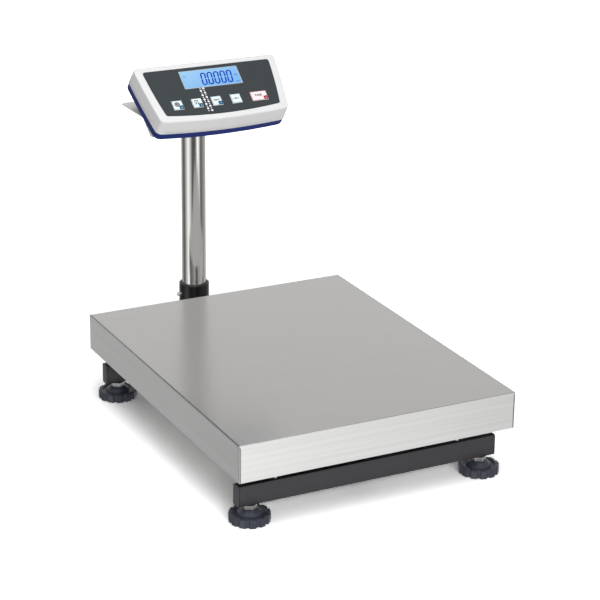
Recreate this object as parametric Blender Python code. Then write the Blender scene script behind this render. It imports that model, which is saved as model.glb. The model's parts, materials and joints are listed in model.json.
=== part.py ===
"""Counting scale: a weighing platform on four screw feet, a column behind it and a display terminal.

Lengths are metres. X runs across the pan, Y from its front edge towards the column, Z up.
The origin lies on the floor, below the middle of the scale's bounding box.
"""
import math

import bmesh
import bpy
from mathutils import Matrix, Vector

# Clearance that pieces keep where they touch, and radial play of a screw in its hole
GAP = 0.0003
HOLE_PLAY = 0.0003

# Weighing pan
PAN_WIDTH = 0.400
PAN_DEPTH = 0.500
PAN_SKIRT = 0.051
PAN_SHEET = 0.0015
PAN_FOLD_RADIUS = 0.0028
PAN_CORNER_RADIUS = 0.0035
PAN_LEAST_RADIUS = 0.0005

# Screw feet with their studs and lock nuts
FOOT_RADIUS = 0.0274
FOOT_RIM_HEIGHT = 0.012
FOOT_HUB_HEIGHT = 0.0055
FOOT_HUB_FOOT_RADIUS = 0.0165
FOOT_HUB_TOP_RADIUS = 0.0098
FOOT_DISH_RADIUS = 0.0215
FOOT_DISH_DEPTH = 0.0025
FOOT_LOBES = 12
FOOT_NOTCH_RADIUS = 0.0026
FOOT_NOTCH_OUT = 0.0008
FOOT_LOBE_SWELL = 0.0006
FOOT_FLOOR_THICKNESS = 0.004
FOOT_EDGE_RADIUS = 0.0013
STUD_RADIUS = 0.005
STUD_LENGTH = 0.038
STUD_CHAMFER = 0.0008
LOCK_NUT_FLATS = 0.017
LOCK_NUT_HEIGHT = 0.0055
FOOT_INSET = 0.0308
FOOT_NOTCH_SHARE = 0.165

# Base: two cross beams and the centre beam between them
BEAM_INSET = 0.011
BEAM_HEIGHT = 0.0292
BEAM_THICKNESS = 0.015
BEAM_WALL = 0.002
BEAM_CORNER_RADIUS = 0.002
FRONT_BEAM_INSET = 0.034
REAR_BEAM_INSET = 0.025
CENTRE_BEAM_WIDTH = 0.060
CENTRE_BEAM_WALL = 0.003
CENTRE_BEAM_CORNER_RADIUS = 0.004
TUBE_LEAST_RADIUS = 0.0004
END_CAP_PLATE = 0.002
END_CAP_PLUG = 0.008
END_CAP_SOFT = 0.001

# Load cell and what it is bolted to
CELL_LENGTH = 0.150
CELL_WIDTH = 0.040
CELL_HEIGHT = 0.025
CELL_BORE_RADIUS = 0.0085
CELL_BORE_SPACING = 0.040
CELL_SLOT_HEIGHT = 0.004
CELL_SCREW_RADIUS = 0.004
CELL_SCREW_PITCH = 0.022
CELL_SCREW_DEPTH = 0.014
SPACER_HEIGHT = 0.004
SPACER_LENGTH = 0.040

# Carrier under the pan
ARM_INSET = 0.014
ARM_DEPTH = 0.030
ARM_HEIGHT = 0.028
ARM_WALL = 0.002
SPINE_WIDTH = 0.050
BUMPER_RADIUS = 0.013
BUMPER_HEIGHT = 0.0049
BUMPER_STEM_RADIUS = 0.004
BUMPER_STEM_LENGTH = 0.006
BUMPER_INSET = 0.035
BUMPER_TOP_RADIUS = 0.0104
BUMPER_SHOULDER = 0.003

# Overload stops on the cross beams
STOP_RADIUS = 0.0027
STOP_INSET = 0.0667
STOP_HEAD_FLATS = 0.010
STOP_HEAD_HEIGHT = 0.004
STOP_TRAVEL = 0.001
STOP_ENGAGEMENT = 0.005

# Column, its socket and the bracket that carries them
COLUMN_BEHIND_PAN = 0.0826
COLUMN_RADIUS = 0.018
COLUMN_WALL = 0.0015
COLUMN_LENGTH = 0.336
SOCKET_WALL = 0.004
SOCKET_HEIGHT = 0.0610
SOCKET_FLANGE_RADIUS = 0.0295
SOCKET_FLANGE_HEIGHT = 0.005
SOCKET_FILLET = 0.002
SOCKET_SOFT = 0.001
BRACKET_END_RADIUS = 0.032
BRACKET_WALL = 0.003
BRACKET_SOFT = 0.0015
BRACKET_BOLT_RADIUS = 0.004
BRACKET_BOLT_HALF_SPACING = 0.018
BRACKET_BOLT_FLATS = 0.013
BRACKET_BOLT_HEAD = 0.005
FLANGE_SCREW_RADIUS = 0.0022
FLANGE_SCREW_CIRCLE = 0.0258
CLAMP_SCREW_RADIUS = 0.003
CLAMP_SCREW_HEIGHT = 0.045
CLAMP_SCREW_PROUD = 0.005
CLAMP_SOCKET_RADIUS = 0.0016
CLAMP_SOCKET_DEPTH = 0.003
CLAMP_SCREW_CHAMFER = 0.0005

# Bubble level on the column bracket
LEVEL_RADIUS = 0.009
LEVEL_HEIGHT = 0.007
LEVEL_VIAL_RADIUS = 0.0065
LEVEL_VIAL_HEIGHT = 0.0045
LEVEL_BEHIND_PAN = 0.030
LEVEL_SOFT = 0.0006

# Top of the column and the folded bracket under the display
PLUG_FLANGE_HEIGHT = 0.004
PLUG_DEPTH = 0.025
PLUG_CHAMFER = 0.0008
PLUG_SCREW_RADIUS = 0.0025
PLUG_SCREW_HALF_SPACING = 0.009
PLUG_SCREW_LENGTH = 0.012
PLUG_SCREW_HEAD_RADIUS = 0.0045
PLUG_SCREW_HEAD_HEIGHT = 0.0028
PLUG_SCREW_CROWN_RADIUS = 0.0027
PLUG_SCREW_RIM_HEIGHT = 0.0008
HOLDER_WIDTH = 0.2046
HOLDER_SHEET = 0.002
HOLDER_REACH = 0.0566
HOLDER_TAIL = 0.0250
HOLDER_SLOPE_LENGTH = 0.036
HOLDER_CORNER_RADIUS = 0.005
HOLDER_CORNER_STEPS = 4
HOLDER_SCREW_HALF_SPACING = 0.060
HOLDER_SCREW_DOWN_SLOPE = 0.018
HOLDER_POST_HEIGHT = 0.0075

# Display terminal, in its own frame: x across, y up the slope, z out of the face
DISPLAY_TILT = math.radians(38.2)
DISPLAY_UP_SLOPE = 0.0067
FACE_TOP_WIDTH = 0.2206
FACE_BOTTOM_WIDTH = 0.1972
FACE_TOP = 0.0480
FACE_BOTTOM = 0.0495
FACE_SIDE_BOW = 0.0012
FACE_BOTTOM_BOW = 0.0048
FACE_TOP_BOW = 0.0004
FACE_TOP_CORNER = 0.006
FACE_BOTTOM_CORNER = 0.009
FACE_EDGE_RADIUS = 0.0022
UPPER_SHELL_DEPTH = 0.0265
LOWER_SHELL_DEPTH = 0.0145
SHELL_FLARE = 0.0012
SHELL_WALL = 0.0025
SHELL_CEILING = 0.0036
BACK_EDGE_RADIUS = 0.0045
SEAM_STEP = 0.0005

# Front panel, window and LCD; the margins lie between the panel and the edge of the face
PANEL_TOP_SIDE_MARGIN = 0.0121
PANEL_BOTTOM_SIDE_MARGIN = 0.0111
PANEL_TOP_MARGIN = 0.0091
PANEL_BOTTOM_MARGIN = 0.0103
PANEL_SIDE_BOW = 0.0012
PANEL_BOTTOM_BOW = 0.0058
PANEL_CORNER = 0.0035
PANEL_THICKNESS = 0.0012
PANEL_SUNK = 0.0001
WINDOW_WIDTH = 0.0903
WINDOW_HEIGHT = 0.0312
WINDOW_CENTRE_UP = 0.0179
WINDOW_CORNER = 0.0010
WINDOW_THICKNESS = 0.0009
LCD_MARGIN = 0.0045
LCD_BODY_THICKNESS = 0.0052

# Keys and the switches under them; the insets run from the panel's mean sides to the outer keys' centres
KEY_WIDTH = 0.0155
KEY_HEIGHT = 0.0157
KEY_FIRST_INSET = 0.02735
KEY_CENTRE_DOWN = 0.0235
KEY_CORNER = 0.0008
KEY_PROUD = 0.0005
KEY_PLATE = 0.0014
KEY_STEM = 0.007
KEY_TRAVEL = 0.0005
KEY_STEM_REACH = 0.0055
KEY_SOFT = 0.0004
WIDE_KEY_WIDTH = 0.0248
WIDE_KEY_INSET = 0.0322
WIDE_KEY_SPACE = 0.0160
SWITCH_WIDTH = 0.006
SWITCH_BUTTON_RADIUS = 0.0017
SWITCH_BUTTON_HEIGHT = 0.0008

# Inside the terminal
BOARD_SIDE_MARGIN = 0.01785
BOARD_HEIGHT = 0.072
BOARD_THICKNESS = 0.0016
BOARD_POST_INSET = 0.005
BOARD_POST_RADIUS = 0.003
BOSS_RADIUS = 0.0042
BOSS_TOP_SIDE_INSET = 0.0163
BOSS_TOP_INSET = 0.0120
BOSS_BOTTOM_SIDE_INSET = 0.0166
BOSS_BOTTOM_INSET = 0.0115
CASE_SCREW_RADIUS = 0.0014
CASE_SCREW_LENGTH = 0.016
CASE_SCREW_SUNK = 0.005
CASE_SCREW_HEAD_RADIUS = 0.0027
BATTERY_WIDTH = 0.066
BATTERY_HEIGHT = 0.044
BATTERY_THICKNESS = 0.018
BATTERY_UP = 0.012
BATTERY_SOFT = 0.002
JACK_RADIUS = 0.0042
JACK_LENGTH = 0.012
JACK_BORE_RADIUS = 0.0026
JACK_X = 0.064
GLAND_RADIUS = 0.0042
GLAND_NUT_FLATS = 0.0110
GLAND_NUT_LENGTH = 0.006
GLAND_LENGTH = 0.018
GLAND_BORE_RADIUS = 0.0024
GLAND_END_LENGTH = 0.004
GLAND_END_STRAIGHT = 0.002
GLAND_END_SOFT = 0.001
GLAND_X = -0.050
PORT_DEPTH = 0.0200

# Facets of round pieces
ROUND = 32
SMALL_ROUND = 12
TINY_ROUND = 8
BORE_ROUND = 24
LEVEL_ROUND = 20
PORT_ROUND = 18
BRACKET_STEPS = 14

# Heights above the floor, from the feet up
FOOT_TOP = FOOT_RIM_HEIGHT + FOOT_HUB_HEIGHT
NUT_BOTTOM = FOOT_TOP + GAP
BEAM_BOTTOM = NUT_BOTTOM + LOCK_NUT_HEIGHT + GAP
BEAM_TOP = BEAM_BOTTOM + BEAM_HEIGHT
LOWER_SPACER_BOTTOM = BEAM_TOP + GAP
CELL_BOTTOM = LOWER_SPACER_BOTTOM + SPACER_HEIGHT + GAP
CELL_TOP = CELL_BOTTOM + CELL_HEIGHT
UPPER_SPACER_BOTTOM = CELL_TOP + GAP
ARM_BOTTOM = UPPER_SPACER_BOTTOM + SPACER_HEIGHT + GAP
ARM_TOP = ARM_BOTTOM + ARM_HEIGHT
BUMPER_BOTTOM = ARM_TOP + GAP
PAN_UNDERSIDE = BUMPER_BOTTOM + BUMPER_HEIGHT + GAP
PAN_TOP = PAN_UNDERSIDE + PAN_SHEET
SOCKET_BOTTOM = BEAM_TOP + GAP
COLUMN_BOTTOM = SOCKET_BOTTOM
COLUMN_TOP = COLUMN_BOTTOM + COLUMN_LENGTH
PLUG_FLANGE_BOTTOM = COLUMN_TOP + GAP
PLUG_TOP = PLUG_FLANGE_BOTTOM + PLUG_FLANGE_HEIGHT
HOLDER_BOTTOM = PLUG_TOP + GAP
HOLDER_TOP = HOLDER_BOTTOM + HOLDER_SHEET

# Places across the scale, as distances from its middle
ARM_LENGTH = PAN_WIDTH - 2 * ARM_INSET
BEAM_LENGTH = PAN_WIDTH - 2 * BEAM_INSET
FOOT_HALF_SPACING = PAN_WIDTH / 2 - FOOT_INSET
BUMPER_HALF_SPACING = PAN_WIDTH / 2 - BUMPER_INSET
STOP_HALF_SPACING = PAN_WIDTH / 2 - STOP_INSET

# Places on the display's face
PANEL_TOP_WIDTH = FACE_TOP_WIDTH - 2 * PANEL_TOP_SIDE_MARGIN
PANEL_BOTTOM_WIDTH = FACE_BOTTOM_WIDTH - 2 * PANEL_BOTTOM_SIDE_MARGIN
PANEL_TOP = FACE_TOP - PANEL_TOP_MARGIN
PANEL_BOTTOM = FACE_BOTTOM - PANEL_BOTTOM_MARGIN
BOSS_TOP_HALF_SPACING = FACE_TOP_WIDTH / 2 - BOSS_TOP_SIDE_INSET
BOSS_TOP_UP = FACE_TOP - BOSS_TOP_INSET
BOSS_BOTTOM_HALF_SPACING = FACE_BOTTOM_WIDTH / 2 - BOSS_BOTTOM_SIDE_INSET
BOSS_BOTTOM_DOWN = FACE_BOTTOM - BOSS_BOTTOM_INSET
PANEL_MEAN_WIDTH = (PANEL_TOP_WIDTH + PANEL_BOTTOM_WIDTH) / 2
BOARD_WIDTH = PANEL_MEAN_WIDTH - 2 * BOARD_SIDE_MARGIN
KEY_FIRST_X = -PANEL_MEAN_WIDTH / 2 + KEY_FIRST_INSET
WIDE_KEY_X = PANEL_MEAN_WIDTH / 2 - WIDE_KEY_INSET
KEY_FOURTH_X = WIDE_KEY_X - WIDE_KEY_WIDTH / 2 - WIDE_KEY_SPACE - KEY_WIDTH / 2
KEY_PITCH = (KEY_FOURTH_X - KEY_FIRST_X) / 3

# Places from front to back
TOTAL_DEPTH = PAN_DEPTH + COLUMN_BEHIND_PAN + BRACKET_END_RADIUS
PAN_FRONT_Y = -TOTAL_DEPTH / 2
PAN_BACK_Y = PAN_FRONT_Y + PAN_DEPTH
PAN_CENTRE_Y = PAN_FRONT_Y + PAN_DEPTH / 2
FRONT_BEAM_Y = PAN_FRONT_Y + FRONT_BEAM_INSET
REAR_BEAM_Y = PAN_BACK_Y - REAR_BEAM_INSET
COLUMN_Y = PAN_BACK_Y + COLUMN_BEHIND_PAN
REAR_BEAM_BACK_Y = REAR_BEAM_Y + BEAM_THICKNESS / 2
FREE_END_Y = PAN_CENTRE_Y - CELL_LENGTH / 2 + SPACER_LENGTH / 2
FIXED_END_Y = PAN_CENTRE_Y + CELL_LENGTH / 2 - SPACER_LENGTH / 2

# Depths below the display's face
PANEL_SEAT = PANEL_SUNK + PANEL_THICKNESS + GAP
LCD_FACE_DEPTH = PANEL_SUNK + WINDOW_THICKNESS + GAP
LCD_BODY_DEPTH = SHELL_CEILING + GAP
SEAM_DEPTH = UPPER_SHELL_DEPTH
BACK_DEPTH = SEAM_DEPTH + GAP + LOWER_SHELL_DEPTH
KEY_PLATE_BOTTOM = KEY_PLATE - KEY_PROUD
KEY_STEM_BOTTOM = KEY_PLATE_BOTTOM + KEY_STEM_REACH
SWITCH_TOP_DEPTH = KEY_STEM_BOTTOM + KEY_TRAVEL + GAP
BOARD_DEPTH = LCD_BODY_DEPTH + LCD_BODY_THICKNESS + GAP
CASE_SCREW_TIP = -BACK_DEPTH + CASE_SCREW_SUNK + CASE_SCREW_LENGTH


def clear_scene():
    for obj in list(bpy.data.objects):
        bpy.data.objects.remove(obj, do_unlink=True)


def make_material(name, colour, roughness, metallic=0.0):
    material = bpy.data.materials.new(name)
    material.use_nodes = True
    shader = material.node_tree.nodes["Principled BSDF"]
    shader.inputs["Base Color"].default_value = (*colour, 1.0)
    shader.inputs["Roughness"].default_value = roughness
    shader.inputs["Metallic"].default_value = metallic
    return material


def make_object(name, bm, material, parent=None, location=(0, 0, 0), sharp=30):
    """Turn a bmesh into a named object with its own material, smooth below the sharp angle."""
    bmesh.ops.recalc_face_normals(bm, faces=bm.faces)
    mesh = bpy.data.meshes.new(name)
    bm.to_mesh(mesh)
    bm.free()
    mesh.shade_smooth()
    mesh.set_sharp_from_angle(angle=math.radians(sharp))
    mesh.materials.append(material)
    obj = bpy.data.objects.new(name, mesh)
    obj.location = location
    obj.parent = parent
    bpy.context.scene.collection.objects.link(obj)
    return obj


def make_empty(name, location, tilt=0.0, parent=None):
    empty = bpy.data.objects.new(name, None)
    empty.location = location
    empty.rotation_euler = (tilt, 0, 0)
    empty.parent = parent
    bpy.context.scene.collection.objects.link(empty)
    return empty


def add_boolean(obj, bm, operation):
    """Cut or join with a hidden wire object that shares the target's place."""
    name = obj.name + "_" + operation.lower()
    cutter = make_object(name, bm, obj.data.materials[0], obj.parent, obj.location)
    cutter.hide_render = True
    cutter.display_type = "WIRE"
    modifier = obj.modifiers.new(operation.title(), "BOOLEAN")
    modifier.operation = operation
    modifier.object = cutter
    return modifier


def add_box(bm, size, centre):
    matrix = Matrix.Translation(centre) @ Matrix.Diagonal((*size, 1))
    bmesh.ops.create_cube(bm, size=1, matrix=matrix)


def add_rod(bm, radius, start, end, segments=SMALL_ROUND, turn=0.0):
    """Cylinder, or a hexagon with six segments, from one point to another."""
    axis = Vector(end) - Vector(start)
    middle = (Vector(start) + Vector(end)) / 2
    rotation = axis.to_track_quat("Z", "Y").to_matrix().to_4x4()
    matrix = Matrix.Translation(middle) @ rotation @ Matrix.Rotation(turn, 4, "Z")
    bmesh.ops.create_cone(
        bm, cap_ends=True, segments=segments, radius1=radius, radius2=radius, depth=axis.length, matrix=matrix
    )


def circle_points(radius, count):
    angles = [2 * math.pi * i / count for i in range(count)]
    return [(radius * math.cos(a), radius * math.sin(a)) for a in angles]


def hexagon(flats, count):
    """Points round a hexagon at equal angles, as many as a circle that it meets."""
    sixth = math.pi / 3
    points = []
    for u, v in circle_points(1, count):
        from_corner = (math.atan2(v, u) + sixth / 2) % sixth - sixth / 2
        size = flats / 2 / math.cos(sixth / 2 - abs(from_corner))
        points.append((size * u, size * v))
    return points


def revolve(bm, profile, steps=ROUND, closed=True, matrix=Matrix()):
    """Turn a profile of (radius, height) points about Z."""
    verts = [bm.verts.new((radius, 0, height)) for radius, height in profile]
    edges = [bm.edges.new(pair) for pair in zip(verts, verts[1:])]
    if closed:
        edges.append(bm.edges.new((verts[-1], verts[0])))
    bmesh.ops.spin(
        bm, geom=verts + edges, cent=(0, 0, 0), axis=(0, 0, 1), angle=2 * math.pi, steps=steps, use_merge=True
    )
    bmesh.ops.remove_doubles(bm, verts=bm.verts, dist=1e-6)
    bmesh.ops.transform(bm, matrix=matrix, verts=bm.verts)


def merge_into(bm, other):
    """Append another bmesh and free it."""
    mesh = bpy.data.meshes.new("scratch")
    other.to_mesh(mesh)
    other.free()
    bm.from_mesh(mesh)
    bpy.data.meshes.remove(mesh)


def skin_between(bm, first, second):
    """Faces between two rings; the first may have twice the points of the second."""
    count = len(second)
    double = len(first) == 2 * count
    for i in range(count):
        after = (i + 1) % count
        if double:
            bm.faces.new((first[2 * i], first[2 * i + 1], second[i]))
            bm.faces.new((first[2 * i + 1], first[2 * after], second[after], second[i]))
        else:
            bm.faces.new((first[i], first[after], second[after], second[i]))


def loft(bm, rings, closed=False):
    """Skin through rings of points, capped at both ends unless it closes on itself."""
    loops = [[bm.verts.new(point) for point in ring] for ring in rings]
    for first, second in zip(loops, loops[1:]):
        skin_between(bm, first, second)
    if closed:
        skin_between(bm, loops[-1], loops[0])
        return
    bm.faces.new(loops[0])
    bm.faces.new(loops[-1])


def arc(centre, radius, start, end, steps):
    """Points on an arc, both ends included."""
    angles = [start + (end - start) * i / steps for i in range(steps + 1)]
    return [(centre[0] + radius * math.cos(a), centre[1] + radius * math.sin(a)) for a in angles]


def rounded_rectangle(width, height, radius, steps=2):
    half_width = width / 2 - radius
    half_height = height / 2 - radius
    quarter = math.pi / 2
    corners = ((half_width, half_height), (-half_width, half_height), (-half_width, -half_height),
               (half_width, -half_height))
    points = []
    for i, corner in enumerate(corners):
        points += arc(corner, radius, i * quarter, (i + 1) * quarter, steps)
    return points


def bowed_outline(corners, bows, radii, steps, corner_steps=3):
    """Outline round corners in anticlockwise order, its edges bowed outwards and its corners rounded."""
    count = len(corners)
    corners = [Vector(corner) for corner in corners]

    def edge(i):
        start = corners[i % count]
        run = corners[(i + 1) % count] - start
        normal = Vector((run.y, -run.x)).normalized()
        return start, run, normal, bows[i % count]

    def tangent(i, at_end):
        _, run, normal, bow = edge(i)
        lean = 4 * bow / run.length
        return (run.normalized() + normal * (-lean if at_end else lean)).normalized()

    setbacks = []
    arcs = []
    for i in range(count):
        arriving = tangent(i - 1, True)
        leaving = tangent(i, False)
        turn = arriving.angle(leaving)
        setback = radii[i] * math.tan(turn / 2)
        start = corners[i] - arriving * setback
        centre = start + Vector((-arriving.y, arriving.x)) * radii[i]
        first = math.atan2(start.y - centre.y, start.x - centre.x)
        arcs.append(arc(centre, radii[i], first, first + turn, corner_steps))
        setbacks.append(setback)
    points = []
    for i in range(count):
        points += arcs[i]
        start, run, normal, bow = edge(i)
        low = setbacks[i] / run.length
        high = 1 - setbacks[(i + 1) % count] / run.length
        for k in range(1, steps[i]):
            t = low + (high - low) * k / steps[i]
            place = start + run * t + normal * (4 * bow * t * (1 - t))
            points.append((place.x, place.y))
    return points


def face_outline(offset):
    """Outline of the display housing, grown by an offset."""
    top = FACE_TOP + offset
    bottom = -FACE_BOTTOM - offset
    half_top = FACE_TOP_WIDTH / 2 + offset
    half_bottom = FACE_BOTTOM_WIDTH / 2 + offset
    corners = ((half_top, top), (-half_top, top), (-half_bottom, bottom), (half_bottom, bottom))
    bows = (FACE_TOP_BOW, FACE_SIDE_BOW, FACE_BOTTOM_BOW, FACE_SIDE_BOW)
    upper = FACE_TOP_CORNER + offset
    lower = FACE_BOTTOM_CORNER + offset
    return bowed_outline(corners, bows, (upper, upper, lower, lower), (2, 4, 8, 4))


def panel_outline(offset):
    """Outline of the grey front panel, grown by an offset."""
    top = PANEL_TOP + offset
    bottom = -PANEL_BOTTOM - offset
    half_top = PANEL_TOP_WIDTH / 2 + offset
    half_bottom = PANEL_BOTTOM_WIDTH / 2 + offset
    corners = ((half_top, top), (-half_top, top), (-half_bottom, bottom), (half_bottom, bottom))
    bows = (0.0, PANEL_SIDE_BOW, PANEL_BOTTOM_BOW, PANEL_SIDE_BOW)
    radius = PANEL_CORNER + offset
    return bowed_outline(corners, bows, (radius,) * 4, (1, 4, 8, 4))


def at_height(outline, z):
    return [(x, y, z) for x, y in outline]


def add_prism(bm, outline, bottom, top):
    loft(bm, (at_height(outline, bottom), at_height(outline, top)))


def mirror_x(distance):
    return (-distance, distance)


def corner_places(half_spacing):
    """Name and plan position of four like pieces, two on each cross beam."""
    places = {}
    for row, y in (("front", FRONT_BEAM_Y), ("rear", REAR_BEAM_Y)):
        for side, x in side_places(half_spacing):
            places[row + "_" + side] = (x, y)
    return places


def side_places(half_spacing):
    return (("left", -half_spacing), ("right", half_spacing))


def make_copies(name, bm, material, places, sharp=30):
    """An object at each named place, all with one mesh."""
    shared = None
    for ending, place in places.items():
        if shared is None:
            shared = make_object(name + "_" + ending, bm, material, location=place, sharp=sharp).data
            continue
        copy = bpy.data.objects.new(name + "_" + ending, shared)
        copy.location = place
        bpy.context.scene.collection.objects.link(copy)


def at_corners(half_spacing, z):
    return {name: (x, y, z) for name, (x, y) in corner_places(half_spacing).items()}


def key_places():
    """Name, centre x and width of each key."""
    places = [("key_" + str(i + 1), KEY_FIRST_X + i * KEY_PITCH, KEY_WIDTH) for i in range(4)]
    return places + [("key_tare", WIDE_KEY_X, WIDE_KEY_WIDTH)]


def boss_places():
    top = [(x, BOSS_TOP_UP) for x in mirror_x(BOSS_TOP_HALF_SPACING)]
    bottom = [(x, -BOSS_BOTTOM_DOWN) for x in mirror_x(BOSS_BOTTOM_HALF_SPACING)]
    return top + bottom


def make_pan(material):
    """Folded sheet pan, open below."""
    def ring(inset, z):
        corner = max(PAN_CORNER_RADIUS - inset, PAN_LEAST_RADIUS)
        outline = rounded_rectangle(PAN_WIDTH - 2 * inset, PAN_DEPTH - 2 * inset, corner)
        return at_height(outline, z)

    fold = arc((PAN_FOLD_RADIUS, -PAN_FOLD_RADIUS), PAN_FOLD_RADIUS, math.pi / 2, math.pi, 4)
    inner_radius = PAN_FOLD_RADIUS - PAN_SHEET
    inner_fold = arc((PAN_FOLD_RADIUS, -PAN_FOLD_RADIUS), inner_radius, math.pi, math.pi / 2, 2)
    rings = [ring(inset, PAN_TOP + drop) for inset, drop in fold]
    rings.append(ring(0, PAN_TOP - PAN_SKIRT))
    rings.append(ring(PAN_SHEET, PAN_TOP - PAN_SKIRT))
    rings += [ring(inset, PAN_TOP + drop) for inset, drop in inner_fold]
    bm = bmesh.new()
    loft(bm, rings)
    return make_object("weighing_pan", bm, material, location=(0, PAN_CENTRE_Y, 0))


def make_bumpers(material):
    """Rubber pads with stems that plug into the carrier arms."""
    profile = [
        (0, BUMPER_HEIGHT), (BUMPER_TOP_RADIUS, BUMPER_HEIGHT), (BUMPER_RADIUS, BUMPER_SHOULDER),
        (BUMPER_RADIUS, 0), (BUMPER_STEM_RADIUS, 0), (BUMPER_STEM_RADIUS, -BUMPER_STEM_LENGTH),
        (0, -BUMPER_STEM_LENGTH),
    ]
    bm = bmesh.new()
    revolve(bm, profile, SMALL_ROUND, closed=False)
    make_copies("pan_bumper", bm, material, at_corners(BUMPER_HALF_SPACING, BUMPER_BOTTOM))


def rect_tube(length, width, height, wall, radius):
    """Rectangular tube along X, open at both ends."""
    outer = rounded_rectangle(width, height, radius)
    inner = rounded_rectangle(width - 2 * wall, height - 2 * wall, max(radius - wall, TUBE_LEAST_RADIUS))

    def place(outline, x):
        return [(x, y, z) for y, z in outline]

    bm = bmesh.new()
    half = length / 2
    loft(bm, (place(outer, -half), place(outer, half), place(inner, half), place(inner, -half)), closed=True)
    return bm


def make_carrier_arm(name, y, material):
    bm = rect_tube(ARM_LENGTH, ARM_DEPTH, ARM_HEIGHT, ARM_WALL, BEAM_CORNER_RADIUS)
    arm = make_object(name, bm, material, location=(0, y, ARM_BOTTOM + ARM_HEIGHT / 2))
    holes = bmesh.new()
    for x in mirror_x(BUMPER_HALF_SPACING):
        top = ARM_HEIGHT / 2
        add_rod(holes, BUMPER_STEM_RADIUS + GAP, (x, 0, top - 2 * ARM_WALL), (x, 0, top + ARM_WALL))
    add_boolean(arm, holes, "DIFFERENCE")
    return arm


def screw_pair_y(centre):
    return (centre - CELL_SCREW_PITCH / 2, centre + CELL_SCREW_PITCH / 2)


def make_carrier_spine(material):
    front = FRONT_BEAM_Y + ARM_DEPTH / 2 + GAP
    back = REAR_BEAM_Y - ARM_DEPTH / 2 - GAP
    middle = (front + back) / 2
    bm = rect_tube(back - front, SPINE_WIDTH, ARM_HEIGHT, ARM_WALL, BEAM_CORNER_RADIUS)
    bmesh.ops.rotate(bm, verts=bm.verts, matrix=Matrix.Rotation(math.pi / 2, 3, "Z"))
    spine = make_object("carrier_spine", bm, material, location=(0, middle, ARM_BOTTOM + ARM_HEIGHT / 2))
    holes = bmesh.new()
    for y in screw_pair_y(FREE_END_Y):
        place = y - middle
        add_rod(holes, CELL_SCREW_RADIUS + HOLE_PLAY, (0, place, -ARM_HEIGHT), (0, place, ARM_HEIGHT))
    add_boolean(spine, holes, "DIFFERENCE")
    return spine


def make_spacer(name, centre_y, bottom, material):
    bm = bmesh.new()
    add_box(bm, (CELL_WIDTH, SPACER_LENGTH, SPACER_HEIGHT), (0, 0, SPACER_HEIGHT / 2))
    spacer = make_object(name, bm, material, location=(0, centre_y, bottom))
    holes = bmesh.new()
    for y in screw_pair_y(0):
        add_rod(holes, CELL_SCREW_RADIUS + HOLE_PLAY, (0, y, -SPACER_HEIGHT), (0, y, 2 * SPACER_HEIGHT))
    add_boolean(spacer, holes, "DIFFERENCE")
    return spacer


def make_load_cell(material):
    """Single-point bending beam with the double bore that lets it flex."""
    bm = bmesh.new()
    add_box(bm, (CELL_WIDTH, CELL_LENGTH, CELL_HEIGHT), (0, 0, CELL_HEIGHT / 2))
    cell = make_object("load_cell", bm, material, location=(0, PAN_CENTRE_Y, CELL_BOTTOM))
    bores = bmesh.new()
    for y in (-CELL_BORE_SPACING / 2, CELL_BORE_SPACING / 2):
        middle = CELL_HEIGHT / 2
        add_rod(bores, CELL_BORE_RADIUS, (-CELL_WIDTH, y, middle), (CELL_WIDTH, y, middle), BORE_ROUND)
    add_boolean(cell, bores, "DIFFERENCE")
    slot = bmesh.new()
    add_box(slot, (2 * CELL_WIDTH, CELL_BORE_SPACING, CELL_SLOT_HEIGHT), (0, 0, CELL_HEIGHT / 2))
    for y in screw_pair_y(FREE_END_Y - PAN_CENTRE_Y):
        deep = CELL_HEIGHT - CELL_SCREW_DEPTH - GAP
        add_rod(slot, CELL_SCREW_RADIUS + HOLE_PLAY, (0, y, deep), (0, y, CELL_HEIGHT + SPACER_HEIGHT))
    for y in screw_pair_y(FIXED_END_Y - PAN_CENTRE_Y):
        add_rod(slot, CELL_SCREW_RADIUS + HOLE_PLAY, (0, y, -SPACER_HEIGHT), (0, y, CELL_SCREW_DEPTH + GAP))
    add_boolean(cell, slot, "DIFFERENCE")
    return cell


def make_cross_beam(name, y, material, bolted=False):
    """Tube with holes for the studs and the stops; the bolted one also for the column bracket."""
    length = BEAM_LENGTH - 2 * (END_CAP_PLATE + GAP)
    bm = rect_tube(length, BEAM_THICKNESS, BEAM_HEIGHT, BEAM_WALL, BEAM_CORNER_RADIUS)
    beam = make_object(name, bm, material, location=(0, y, BEAM_BOTTOM + BEAM_HEIGHT / 2))
    half = BEAM_HEIGHT / 2
    holes = bmesh.new()
    for x in mirror_x(FOOT_HALF_SPACING):
        add_rod(holes, STUD_RADIUS + HOLE_PLAY, (x, 0, -half - BEAM_WALL), (x, 0, -half + 2 * BEAM_WALL))
    for x in mirror_x(STOP_HALF_SPACING):
        add_rod(holes, STOP_RADIUS + HOLE_PLAY, (x, 0, half - 2 * BEAM_WALL), (x, 0, half + BEAM_WALL))
    if bolted:
        for x in mirror_x(BRACKET_BOLT_HALF_SPACING):
            inside = BEAM_THICKNESS / 2 - 2 * BEAM_WALL
            add_rod(holes, BRACKET_BOLT_RADIUS + HOLE_PLAY, (x, inside, 0), (x, BEAM_THICKNESS, 0))
    add_boolean(beam, holes, "DIFFERENCE")
    return beam


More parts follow.
